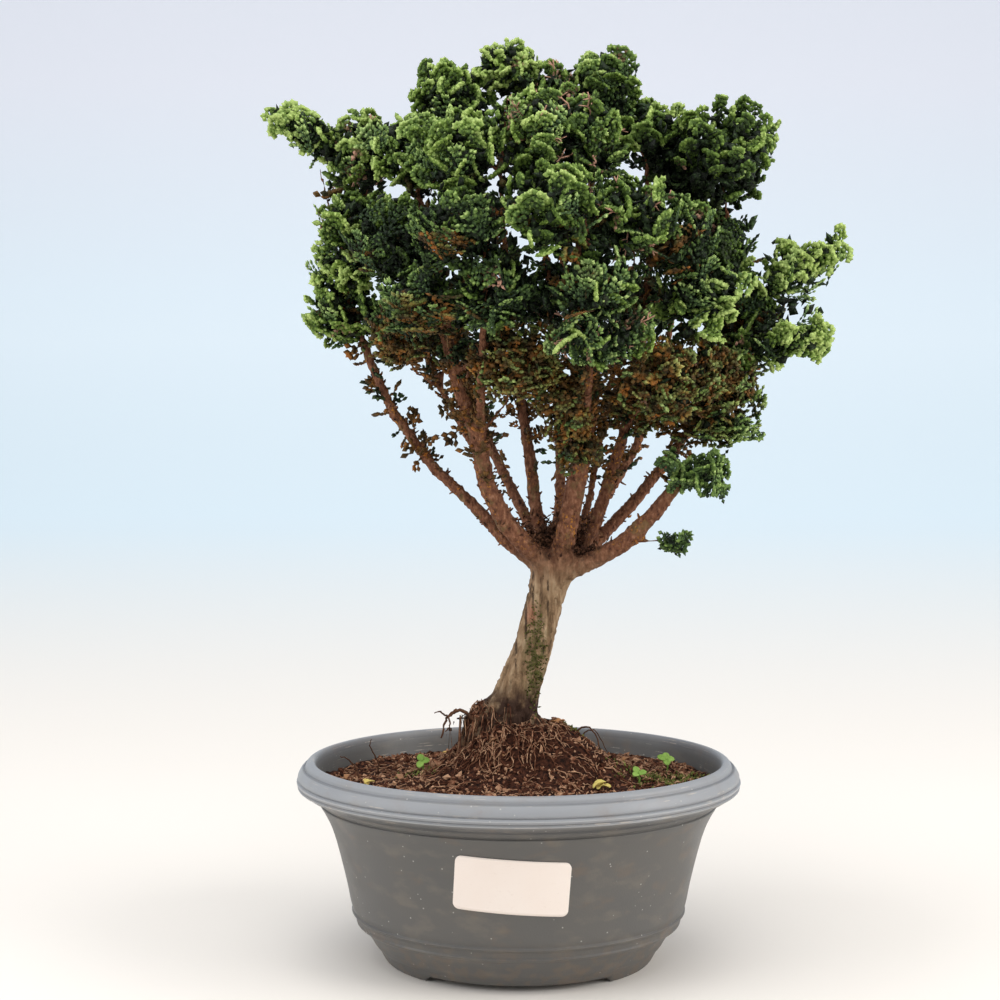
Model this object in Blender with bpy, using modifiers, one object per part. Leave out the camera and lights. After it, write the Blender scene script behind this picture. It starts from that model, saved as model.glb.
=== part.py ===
"""A hinoki cypress bonsai in an oval plastic training pot.

Metres, +Z up, -Y is the front. Every length below is in millimetres, from the table under the
middle of the pot, and is turned into metres where a mesh is made. At the end the whole plant
is moved sideways, so that the origin lies on the table under the middle of its box.
"""

import math
import random

import bmesh
import bpy
from mathutils import Matrix, Vector, geometry, noise

MM = 0.001
CLEARANCE = 0.35  # gap kept between neighbouring pieces

# Pot: an oval turned shell. Each point is a half-width and a height, at the long side of the oval.
POT_OVAL = 0.9  # depth over width
POT_STEPS = 26
FLOOR_TOP = 5.5
FLOOR_UNDERSIDE = 3.0
POT_INSIDE = [(0, FLOOR_TOP), (57, FLOOR_TOP), (62, 12.5), (69.2, 24), (73.5, 43), (82.5, 66), (85.5, 82)]
POT_LIP = [(86.8, 84), (89.4, 83.4), (92, 80), (94, 75.8), (93.4, 72.8), (90.4, 69.2), (86.2, 66.6)]
POT_OUTSIDE = [(83.2, 64.5), (79, 56), (75.5, 43), (72.7, 31.5), (71.3, 23), (67.9, 16)]
POT_FOOT = [(63.3, 10.7), (60.4, 5.5), (57, 0), (51.5, 0), (50.5, FLOOR_UNDERSIDE), (0, FLOOR_UNDERSIDE)]
FOOT_NOTCH_WIDTH = 76
FOOT_NOTCH_DEPTH = 30
FOOT_NOTCH_FROM_MIDDLE = 46
FOOT_NOTCH_HEIGHT = 2.7
DRAIN_HOLE_RADIUS = 4.5
DRAIN_HOLE_SIDES = 12
DRILL_LENGTH = 12
DRAIN_HOLE_PLACES = [(27, 0), (-27, 0), (0, 24), (0, -24)]

# Label: a bare sticker wrapped round the front wall, turned a little clockwise.
LABEL_WIDTH = 45.5
LABEL_HEIGHT = 22.5
LABEL_CORNER = 3
LABEL_THICKNESS = 0.5
LABEL_CENTRE_X = -2.6
LABEL_CENTRE_Z = 46.7
LABEL_TURN = math.radians(-3.8)
LABEL_COLUMNS = 10
LABEL_ROWS = 2

# Soil: peat up to a little below the lip, heaped round the roots.
SOIL_LEVEL = 76
SOIL_HALF_SIZES = (80, 72)  # about how far its top reaches, across and from front to back
SOIL_WALL_GAP = 0.6
SOIL_SIDE_HEIGHTS = (43, 24, 12.5, FLOOR_TOP + CLEARANCE)
SOIL_RINGS = 5
SOIL_STEPS = 24
SOIL_ROUGHNESS = 1.5
SOIL_HEAPS = [(0, -4, 25, 17), (26, -6, 11, 14), (-14, -6, 6, 12)]  # x, y, height, spread
CHIP_COUNT = 5

# Trunk, roots and limbs, grown as one piece: x, y, z and radius along each.
TRUNK = [
    (-9, 2, 56, 10), (-9, 2, 76, 13.5), (-6, 1, 90, 12.5), (-3, 0, 102, 11), (0, 0, 114, 9.5),
    (6, 0, 130, 8.3), (10, 0, 146, 8), (13, 0, 158, 8.5), (15, 0, 166, 9.5), (18, 1, 174, 7.5),
]
ROOTS = [
    [(-4, 0, 108, 7), (-13, -2, 101, 8.5), (-18, -4, 91, 8), (-21, -6, 80, 7), (-27, -8, 66, 4)],
    [(2, -3, 102, 6), (9, -8, 95, 6), (17, -12, 86, 4.5), (27, -18, 76, 3), (38, -24, 66, 2)],
    [(-6, -6, 96, 7), (-10, -16, 88, 6), (-15, -27, 77, 4), (-22, -38, 64, 2.5)],
    [(-4, 6, 98, 7), (-2, 17, 88, 6), (3, 30, 76, 4), (8, 42, 64, 2.5)],
    [(0, 6, 96, 6), (14, 12, 86, 4.5), (28, 17, 76, 3), (40, 24, 66, 2)],
    [(-12, 4, 94, 6), (-24, 12, 84, 4.5), (-35, 20, 74, 3), (-46, 27, 64, 2)],
]
AERIAL_ROOT = [(-15, -4, 99, 1.6), (-19, -7, 102, 1.3), (-26, -9, 102, 1.0), (-31, -11, 94, 0.8)]
LIMBS = [
    [(9, 0, 166, 4), (-5, 2, 176, 3.2), (-20, 6, 192, 2.8), (-37, 10, 208, 2.6), (-54, 14, 231, 2.4),
     (-65, 14, 255, 2.1), (-73, 12, 280, 1.8), (-76, 10, 306, 1.5)],
    [(13, -3, 166, 5), (4, -8, 174, 4.6), (-5, -12, 184, 4.4), (-13, -16, 200, 4), (-17, -18, 220, 3.8),
     (-26, -20, 246, 3.3), (-34, -17, 284, 2.5), (-42, -10, 322, 1.8)],
    [(-9, -13, 194, 2.4), (-18, 2, 214, 1.8), (-34, 20, 242, 1.6), (-46, 32, 268, 1.5), (-54, 44, 300, 1.3)],
    [(14, 5, 168, 4), (8, 12, 186, 3.2), (5, 18, 212, 2.9), (1, 24, 236, 2.4), (-4, 24, 270, 1.9),
     (-8, 14, 335, 1.3)],
    [(17, -3, 168, 6), (20, -8, 180, 5), (23, -9, 195, 4.7), (27, -8, 214, 4.4), (31, -4, 240, 3.8),
     (31, 0, 280, 2.9), (24, 2, 345, 1.6)],
    [(21, 0, 168, 4.5), (32, 4, 181, 3.2), (38, 6, 199, 3), (46, 8, 225, 2.6), (52, 6, 252, 2.3),
     (56, 5, 298, 1.8), (54, 2, 336, 1.4)],
    [(24, 8, 171, 2.6), (31, 20, 193, 1.9), (36, 32, 220, 1.8), (48, 54, 272, 1.4), (54, 66, 304, 1.2)],
    [(22, 4, 167, 4.5), (37, 12, 179, 3.2), (50, 17, 192, 2.8), (63, 20, 208, 2.6), (77, 20, 226, 2.3),
     (98, 15, 258, 1.7), (114, 9, 276, 1.4)],
    [(77, 20, 226, 2), (82, 18, 252, 1.8), (90, 9, 312, 1.3)],
    [(19, -3, 163, 5), (32, -7, 169, 4.3), (44, -10, 176, 4), (57, -13, 189, 3.5), (67, -14, 202, 2.8)],
    [(13, 8, 168, 3.6), (2, 32, 188, 2.8), (-12, 52, 215, 2.5), (-23, 66, 245, 2.1), (-28, 70, 285, 1.7)],
    [(19, 9, 168, 3.6), (36, 34, 189, 2.8), (53, 54, 215, 2.4), (66, 60, 245, 2), (72, 60, 284, 1.6)],
    [(16, 9, 168, 3.8), (19, 38, 193, 2.8), (19, 60, 224, 2.4), (17, 70, 262, 2), (12, 66, 318, 1.5)],
    [(-16, -18, 217, 2.4), (-15, -36, 246, 2), (-13, -50, 276, 1.6), (-12, -52, 306, 1.3)],
    [(27, -9, 212, 2.6), (28, -30, 244, 2.1), (26, -50, 272, 1.7), (22, -56, 304, 1.3)],
]
TRUNK_SIDES = 10
LIMB_SIDES = 6
TWIG_SIDES = 4
TWIG_RADII = (1.5, 1.2, 0.9)
TWIG_SHORT = 26  # a shorter twig is straight
TWIG_NEEDLESS = 8  # a clump this near to a limb sits on the limb itself
TWIG_LEAST_RISE = 14  # twigs start at least this far below where they end, if they can
TWIG_SAG = 0.12

# Foliage: centre, half-sizes and lean of each clump. The lean tips its long axis up from +X, in degrees.
CLUMPS = {
    "tip_left": ((-92, 0, 346), (17, 9, 9), -32),
    "left_high": ((-70, 6, 340), (16, 16, 14), 0),
    "left_crest": ((-48, -14, 342), (16, 16, 16), 0),
    "crest_left": ((-34, 4, 366), (16, 16, 15), 0),
    "top_tip": ((-6, 0, 378), (10, 10, 12), 0),
    "crest_mid": ((16, 6, 366), (16, 16, 16), 0),
    "crest_right": ((40, 2, 370), (15, 15, 15), 0),
    "crest_right_front": ((56, -8, 354), (16, 16, 17), 0),
    "dome_inner": ((76, 14, 336), (16, 17, 16), 0),
    "dome_right": ((98, 2, 336), (18, 19, 18), 0),
    "under_dome": ((90, 8, 308), (16, 15, 16), 0),
    "right_mid": ((92, -4, 288), (16, 16, 15), 0),
    "right_front": ((76, -30, 274), (17, 15, 16), 0),
    "right_low": ((102, 10, 268), (15, 15, 14), 0),
    "tip_right": ((119, 2, 284), (19, 10, 12), 40),
    "right_end": ((114, -4, 256), (17, 12, 11), 5),
    "right_under": ((96, 8, 242), (17, 16, 15), 0),
    "right_skirt": ((82, 2, 222), (17, 16, 15), 0),
    "right_tuft": ((76, -10, 202), (15, 12, 10), 0),
    "sprig": ((66, -14, 174), (7, 7, 6), 0),
    "left_mid": ((-72, 4, 316), (15, 16, 15), 0),
    "left_spray": ((-76, -4, 296), (13, 11, 11), 12),
    "left_front": ((-54, -24, 298), (17, 15, 17), 0),
    "left_low": ((-78, 8, 274), (15, 15, 14), 0),
    "left_skirt": ((-62, -2, 258), (15, 15, 14), 0),
    "left_back_low": ((-40, 22, 258), (15, 15, 15), 0),
    "front_left_high": ((-24, -42, 330), (18, 16, 18), 0),
    "front_mid_high": ((4, -46, 340), (16, 15, 17), 0),
    "front_right_high": ((32, -46, 336), (17, 15, 17), 0),
    "front_left": ((-22, -60, 300), (17, 14, 16), 0),
    "front_mid": ((10, -68, 308), (17, 13, 17), 0),
    "front_right": ((42, -60, 306), (17, 14, 16), 0),
    "front_left_low": ((-38, -44, 270), (16, 14, 15), 0),
    "front_mid_low": ((-6, -58, 272), (17, 14, 15), 0),
    "front_right_low": ((28, -64, 278), (17, 14, 15), 0),
    "front_far_right": ((64, -44, 296), (16, 14, 16), 0),
    "front_spray": ((30, -58, 254), (22, 12, 9), 4),
    "hanging": ((26, -24, 222), (12, 10, 20), 0),
    "under_right": ((60, -26, 236), (17, 15, 18), 0),
    "under_left": ((0, -30, 244), (18, 14, 14), 0),
    "inner_right": ((66, 16, 228), (17, 16, 15), 0),
    "back_left_high": ((-42, 42, 350), (16, 16, 15), 0),
    "back_mid_high": ((-6, 44, 362), (17, 16, 15), 0),
    "back_right_high": ((36, 46, 360), (17, 16, 15), 0),
    "back_left": ((-60, 50, 314), (16, 15, 17), 0),
    "back_left_mid": ((-28, 74, 322), (17, 14, 17), 0),
    "back_mid": ((14, 80, 328), (17, 14, 17), 0),
    "back_right_mid": ((56, 72, 320), (17, 14, 17), 0),
    "back_right": ((86, 46, 304), (16, 15, 17), 0),
    "back_left_low": ((-36, 64, 284), (17, 15, 16), 0),
    "back_low": ((14, 76, 284), (17, 14, 16), 0),
    "back_right_low": ((58, 68, 276), (17, 14, 16), 0),
}
CROWN_MIDDLE = (14, 6, 285)
NEIGHBOUR_REACH = 1.8  # clumps whose sizes, this much larger, would meet are neighbours
CLUMP_GROWTH = 1.75  # clumps grow inwards from the outline until they press on each other
CLUMP_SEED = 7
CORE_SHARE = 0.46  # the core's size over the clump's
FAN_LOBES = 3
LOBE_HALF_WIDTH = 0.24
FAN_HALF_ANGLE = math.radians(42)
FAN_ROOT = 0.3  # the fans' sizes are shares of the clump's
FAN_LENGTH = 0.9
FAN_MIDDLE = 0.55  # where along it a fan is thickest
NOTCH_LENGTH = 0.76
FAN_RISE = 0.6  # how steeply a fan leaves the core
FAN_SWING = math.radians(70)
FAN_THICKNESS = 3.6
FAN_PLACES = 6
FAN_LEAST_REACH = 0.55  # a fan that its neighbours would press shorter than this is left out
FAN_MOST_INWARDS = 0.15  # so is one that would point into the middle of the crown
FAN_SLACK = 0.9  # fans stop up to this far short of their neighbours, each in a plane of its own

# Seedlings standing in the soil: x, y, height, and the direction that each leans to.
SEEDLINGS = [(-38, -6, 5, 200), (61, 6, 6, 20), (48, -24, 5, 300)]
SEEDLING_STEM_RADIUS = 0.6

COLOURS = {
    "pot_plastic": ((0.16, 0.143, 0.124), 0.5),
    "paper_label": ((0.88, 0.82, 0.76), 0.6),
    "peat": ((0.06, 0.028, 0.016), 0.95),
    "bark": ((0.20, 0.105, 0.058), 0.85),
    "foliage": ((0.055, 0.15, 0.025), 0.6),
    "seedling": ((0.22, 0.45, 0.06), 0.5),
}


def millimetres(*place):
    return Vector(place) * MM


def clear_scene():
    for obj in list(bpy.data.objects):
        bpy.data.objects.remove(obj, do_unlink=True)


def new_collection(name):
    collection = bpy.data.collections.new(name)
    bpy.context.scene.collection.children.link(collection)
    return collection


def material(name):
    """A plain material of the named colour, one for each object that asks."""
    colour, roughness = COLOURS[name]
    made = bpy.data.materials.new(name)
    made.use_nodes = True
    shader = made.node_tree.nodes["Principled BSDF"]
    shader.inputs["Base Color"].default_value = (*colour, 1)
    shader.inputs["Roughness"].default_value = roughness
    made.diffuse_color = (*colour, 1)
    return made


def add_object(name, mesh, collection):
    obj = bpy.data.objects.new(name, mesh)
    collection.objects.link(obj)
    return obj


def helper(obj):
    """Marks a cutter or a guide, which is not a piece of the plant."""
    obj.hide_render = True
    obj.display_type = "WIRE"
    return obj


def mesh_from(shape, name):
    mesh = bpy.data.meshes.new(name)
    shape.to_mesh(mesh)
    shape.free()
    return mesh


def evaluated_mesh(obj):
    graph = bpy.context.evaluated_depsgraph_get()
    return bpy.data.meshes.new_from_object(obj.evaluated_get(graph))


def largest_body(mesh):
    """Drops every scrap that a cut has left loose, and keeps the biggest body."""
    shape = bmesh.new()
    shape.from_mesh(mesh)
    unseen = set(shape.faces)
    bodies = []
    while unseen:
        body = []
        queue = [unseen.pop()]
        while queue:
            face = queue.pop()
            body.append(face)
            for edge in face.edges:
                for other in edge.link_faces:
                    if other in unseen:
                        unseen.remove(other)
                        queue.append(other)
        bodies.append(body)
    bodies.sort(key=lambda body: sum(face.calc_area() for face in body))
    scraps = [face for body in bodies[:-1] for face in body]
    bmesh.ops.delete(shape, geom=scraps, context="FACES")
    shape.to_mesh(mesh)
    shape.free()
    return mesh


def add_boolean(obj, operation, other, solver="MANIFOLD"):
    """Joins or cuts with an object, or with every object of a collection."""
    boolean = obj.modifiers.new(operation.lower(), "BOOLEAN")
    boolean.operation = operation
    boolean.solver = solver
    if isinstance(other, bpy.types.Collection):
        boolean.operand_type = "COLLECTION"
        boolean.collection = other
    else:
        boolean.object = other
    return boolean


def fused(name, pieces, cutters=()):
    """One mesh from many overlapping pieces, less the cutters. The pieces are removed."""
    group = new_collection("pieces_of_" + name)
    base = pieces[0]
    for piece in pieces:
        group.objects.link(piece)
    group.objects.unlink(base)
    helpers.objects.link(base)
    if len(pieces) > 1:
        add_boolean(base, "UNION", group)
    for cutter in cutters:
        add_boolean(base, "DIFFERENCE", cutter)
    mesh = largest_body(evaluated_mesh(base))
    mesh.name = name
    for piece in pieces:
        bpy.data.objects.remove(piece, do_unlink=True)
    bpy.data.collections.remove(group)
    return mesh


def finish(name, mesh, colour, smooth_below=35):
    """Puts a finished mesh into the plant's collection, shaded smooth but for its sharp edges."""
    obj = add_object(name, mesh, plant)
    mesh.materials.clear()
    mesh.materials.append(material(colour))
    mesh.shade_smooth()
    mesh.set_sharp_from_angle(angle=math.radians(smooth_below))
    return obj


def outer_profile_half_width(height):
    """Half-width of the pot's outer wall at a height, below the lip."""
    wall = POT_OUTSIDE + POT_FOOT[:3]
    for upper, lower in zip(wall, wall[1:]):
        if lower[1] <= height <= upper[1]:
            share = (height - lower[1]) / (upper[1] - lower[1])
            return lower[0] + share * (upper[0] - lower[0])
    return wall[0][0]


def inner_profile_half_width(height):
    """Half-width of the space inside the pot at a height."""
    for lower, upper in zip(POT_INSIDE[1:], POT_INSIDE[2:]):
        if lower[1] <= height <= upper[1]:
            share = (height - lower[1]) / (upper[1] - lower[1])
            return lower[0] + share * (upper[0] - lower[0])
    return POT_INSIDE[-1][0]


def build_pot():
    """The shell is turned from its profile and drawn in to an oval, then notched and drilled."""
    shape = bmesh.new()
    profile = POT_INSIDE + POT_LIP + POT_OUTSIDE + POT_FOOT
    points = [shape.verts.new(millimetres(half_width, 0, height)) for half_width, height in profile]
    for first, second in zip(points, points[1:]):
        shape.edges.new((first, second))
    pot = add_object("pot", mesh_from(shape, "pot"), plant)
    pot.scale = (1, POT_OVAL, 1)
    screw = pot.modifiers.new("turn", "SCREW")
    screw.steps = POT_STEPS
    screw.render_steps = POT_STEPS
    screw.use_merge_vertices = True
    screw.merge_threshold = 0.00001
    notches = new_notches()
    add_boolean(pot, "DIFFERENCE", notches, "EXACT")
    pot.data.materials.append(material("pot_plastic"))
    pot.data.shade_smooth()
    return pot


def new_notches():
    """Cutters for the shallow openings between the two feet, and for the drain holes."""
    group = bpy.data.collections.new("pot_cutters")
    helpers.children.link(group)
    for side in (-1, 1):
        shape = bmesh.new()
        bmesh.ops.create_cube(shape, size=1)
        notch = add_object("foot_notch", mesh_from(shape, "foot_notch"), group)
        notch.scale = millimetres(FOOT_NOTCH_WIDTH, FOOT_NOTCH_DEPTH, 2 * FOOT_NOTCH_HEIGHT)
        notch.location = millimetres(0, side * FOOT_NOTCH_FROM_MIDDLE, 0)
        helper(notch)
    for x, y in DRAIN_HOLE_PLACES:
        shape = bmesh.new()
        bmesh.ops.create_cone(
            shape, cap_ends=True, segments=DRAIN_HOLE_SIDES, depth=DRILL_LENGTH * MM,
            radius1=DRAIN_HOLE_RADIUS * MM, radius2=DRAIN_HOLE_RADIUS * MM,
        )
        hole = add_object("drain_hole", mesh_from(shape, "drain_hole"), group)
        hole.location = millimetres(x, y, FLOOR_UNDERSIDE)
        helper(hole)
    return group


def build_label():
    """A grid with rounded corners, wrapped on the front wall and given its thickness outwards."""
    half_width = LABEL_WIDTH / 2
    half_height = LABEL_HEIGHT / 2
    straight = half_width - LABEL_CORNER
    shape = bmesh.new()
    bmesh.ops.create_grid(shape, x_segments=LABEL_COLUMNS, y_segments=LABEL_ROWS, size=1)
    for vert in shape.verts:
        along = math.sin(vert.co.x * math.pi / 2) * half_width
        past = max(0, abs(along) - straight)
        corner_height = half_height - LABEL_CORNER + math.sqrt(max(0, LABEL_CORNER**2 - past**2))
        up = vert.co.y * corner_height
        x = LABEL_CENTRE_X + along * math.cos(LABEL_TURN) - up * math.sin(LABEL_TURN)
        z = LABEL_CENTRE_Z + along * math.sin(LABEL_TURN) + up * math.cos(LABEL_TURN)
        wall = outer_profile_half_width(z) + CLEARANCE
        angle = x / wall
        vert.co = millimetres(wall * math.sin(angle), -wall * POT_OVAL * math.cos(angle) - 0.05, z)
    bmesh.ops.recalc_face_normals(shape, faces=shape.faces)
    if sum(face.normal.y for face in shape.faces) > 0:
        bmesh.ops.reverse_faces(shape, faces=shape.faces)
    label = add_object("label", mesh_from(shape, "label"), plant)
    solidify = label.modifiers.new("thickness", "SOLIDIFY")
    solidify.thickness = LABEL_THICKNESS * MM
    solidify.offset = 1
    label.data.materials.append(material("paper_label"))
    return label


def tube(name, points, sides):
    """A tapered round tube through points of x, y, z and radius, with welded end caps."""
    curve = bpy.data.curves.new(name, "CURVE")
    curve.dimensions = "3D"
    curve.bevel_depth = MM
    curve.bevel_resolution = (sides - 4) // 2
    curve.use_fill_caps = True
    spline = curve.splines.new("POLY")
    spline.points.add(len(points) - 1)
    for point, (x, y, z, radius) in zip(spline.points, points):
        point.co = (*millimetres(x, y, z), 1)
        point.radius = radius
    guide = add_object(name, curve, helpers)
    mesh = evaluated_mesh(guide)
    bpy.data.objects.remove(guide, do_unlink=True)
    shape = bmesh.new()
    shape.from_mesh(mesh)
    bmesh.ops.remove_doubles(shape, verts=shape.verts, dist=1e-7)
    bmesh.ops.recalc_face_normals(shape, faces=shape.faces)
    shape.to_mesh(mesh)
    shape.free()
    return bpy.data.objects.new(name, mesh)


def grown_centre(centre, sizes):
    """A clump's centre once it has grown inwards from where its outline stays."""
    inwards = (Vector(CROWN_MIDDLE) - Vector(centre)).normalized()
    return Vector(centre) + inwards * min(sizes) * (CLUMP_GROWTH - 1)


def limb_distance(target):
    """How near any limb comes to a place."""
    nearest = math.inf
    for limb in LIMBS:
        for first, second in zip(limb, limb[1:]):
            start = Vector(first[:3])
            end = Vector(second[:3])
            share = geometry.intersect_point_line(target, start, end)[1]
            closest = start.lerp(end, min(1, max(0, share)))
            nearest = min(nearest, (target - closest).length)
    return nearest


def twig_to(target):
    """A twig that rises from the best-placed point of a limb and bends up into a clump."""
    best = None
    for limb in LIMBS:
        for x, y, z, radius in limb[2:]:
            start = Vector((x, y, z))
            rise = target.z - start.z
            cost = (target - start).length + max(0, TWIG_LEAST_RISE - rise) * 2.5
            if best is None or cost < best[0]:
                best = (cost, start)
    start = best[1]
    if (target - start).length < TWIG_SHORT:
        return [(*start, TWIG_RADII[0]), (*target, TWIG_RADII[2])]
    bend = start.lerp(target, 0.55) - Vector((0, 0, TWIG_SAG * (target - start).length))
    return [(*point, radius) for point, radius in zip((start, bend, target), TWIG_RADII)]


def wood_routes():
    """Every route of the wood, with the number of sides that its tube has."""
    routes = [(TRUNK, TRUNK_SIDES)]
    routes += [(root, LIMB_SIDES) for root in ROOTS]
    routes += [(AERIAL_ROOT, TWIG_SIDES)]
    routes += [(limb, LIMB_SIDES) for limb in LIMBS]
    for centre, sizes, _ in CLUMPS.values():
        middle = grown_centre(centre, sizes)
        if limb_distance(middle) > TWIG_NEEDLESS:
            routes.append((twig_to(middle), TWIG_SIDES))
    return routes


def fattened(route, by):
    return [(x, y, z, radius + by) for x, y, z, radius in route]


def stretched(route, by):
    """The same route, a little longer past its last point."""
    before = Vector(route[-2][:3])
    last = Vector(route[-1][:3])
    further = last + (last - before).normalized() * by
    return route[:-1] + [(*further, route[-1][3])]


def build_wood():
    pieces = [tube(f"wood_{place}", route, sides) for place, (route, sides) in enumerate(wood_routes())]
    return finish("trunk_and_branches", fused("trunk_and_branches", pieces), "bark", 50)


def build_wood_cutter():
    """The wood again, fatter by the clearance all round, to cut the plain holes that it stands in."""
    pieces = []
    for place, (route, sides) in enumerate(wood_routes()):
        wide = stretched(fattened(route, CLEARANCE * 1.2), CLEARANCE)
        pieces.append(tube(f"hole_{place}", wide, sides))
    mesh = fused("wood_hole", pieces)
    return helper(add_object("wood_hole", mesh, helpers))


def soil_height(x, y):
    """Height of the peat: nearly level, heaped round the roots, and rough."""
    height = SOIL_LEVEL - 0.03 * y
    for heap_x, heap_y, top, spread in SOIL_HEAPS:
        away = ((x - heap_x) ** 2 + (y - heap_y) ** 2) / (2 * spread**2)
        height += top * math.exp(-away)
    return height + SOIL_ROUGHNESS * noise.noise(Vector((x, y, 3)) * 0.11)


def soil_ring(share, height_of, steps):
    """Points of one oval ring of the soil, at a share of the way out to the pot's wall."""
    ring = []
    for step in range(steps):
        angle = 2 * math.pi * step / steps
        edge_height = height_of(math.cos(angle) * SOIL_HALF_SIZES[0], math.sin(angle) * SOIL_HALF_SIZES[1])
        reach = inner_profile_half_width(edge_height) - SOIL_WALL_GAP
        x = share * reach * math.cos(angle)
        y = share * reach * POT_OVAL * math.sin(angle)
        ring.append((x, y, height_of(x, y)))
    return ring


def loft(rings, first, last):
    """A closed solid through rings of points, closed by a fan of faces at each end point."""
    shape = bmesh.new()
    rows = [[shape.verts.new(millimetres(*point)) for point in ring] for ring in rings]
    ends = (shape.verts.new(millimetres(*first)), shape.verts.new(millimetres(*last)))
    count = len(rings[0])
    for step in range(count):
        after = (step + 1) % count
        shape.faces.new((rows[0][after], rows[0][step], ends[0]))
        shape.faces.new((rows[-1][step], rows[-1][after], ends[1]))
        for row, following in zip(rows, rows[1:]):
            shape.faces.new((row[step], row[after], following[after], following[step]))
    bmesh.ops.triangulate(shape, faces=shape.faces)
    bmesh.ops.recalc_face_normals(shape, faces=shape.faces)
    return shape


def bark_chip(generator, place):
    """A flat shred of bark, half sunk in the peat."""
    angle = generator.uniform(0, 2 * math.pi)
    away = generator.uniform(0.35, 0.86)
    x = SOIL_HALF_SIZES[0] * away * math.cos(angle)
    y = SOIL_HALF_SIZES[1] * away * math.sin(angle)
    shape = bmesh.new()
    bmesh.ops.create_cube(shape, size=1)
    chip = bpy.data.objects.new(f"chip_{place}", mesh_from(shape, f"chip_{place}"))
    size = millimetres(generator.uniform(5, 10), generator.uniform(2.5, 4.5), generator.uniform(1.5, 2.2))
    turn = Matrix.Rotation(generator.uniform(0, math.pi), 4, "Z")
    tip = Matrix.Rotation(generator.uniform(-0.35, 0.35), 4, "X")
    chip.data.transform(turn @ tip @ Matrix.Diagonal((*size, 1)))
    chip.data.transform(Matrix.Translation(millimetres(x, y, soil_height(x, y) + 0.2)))
    return chip


def build_soil(cutters):
    rings = []
    for place in range(1, SOIL_RINGS + 1):
        rings.append(soil_ring((place / SOIL_RINGS) ** 0.9, soil_height, SOIL_STEPS))
    for height in SOIL_SIDE_HEIGHTS:
        rings.append(soil_ring(1, lambda x, y: height, SOIL_STEPS))
    shape = loft(rings, (0, 0, soil_height(0, 0)), (0, 0, SOIL_SIDE_HEIGHTS[-1]))
    ground = bpy.data.objects.new("ground", mesh_from(shape, "ground"))
    generator = random.Random(CLUMP_SEED)
    pieces = [ground] + [bark_chip(generator, place) for place in range(CHIP_COUNT)]
    return finish("soil", fused("soil", pieces, cutters), "peat", 60)


def blade(name, outline, upper, lower):
    """A leaf blade, thick between its upper and lower middle points and thinning to its outline."""
    shape = bmesh.new()
    rim = [shape.verts.new(point * MM) for point in outline]
    top = shape.verts.new(upper * MM)
    bottom = shape.verts.new(lower * MM)
    for first, second in zip(rim, rim[1:] + rim[:1]):
        shape.faces.new((first, second, top))
        shape.faces.new((second, first, bottom))
    bmesh.ops.recalc_face_normals(shape, faces=shape.faces)
    return bpy.data.objects.new(name, mesh_from(shape, name))


def sphere_directions(count, generator):
    """Directions spread evenly over a sphere, each moved a little."""
    golden = math.pi * (3 - math.sqrt(5))
    start = generator.uniform(0, 2 * math.pi)
    for place in range(count):
        height = 1 - 2 * (place + 0.5) / count
        ring = math.sqrt(1 - height * height)
        angle = start + golden * place
        direction = Vector((ring * math.cos(angle), ring * math.sin(angle), height))
        wobble = Vector((generator.uniform(-1, 1), generator.uniform(-1, 1), generator.uniform(-1, 1)))
        yield (direction + 0.18 * wobble).normalized()


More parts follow.
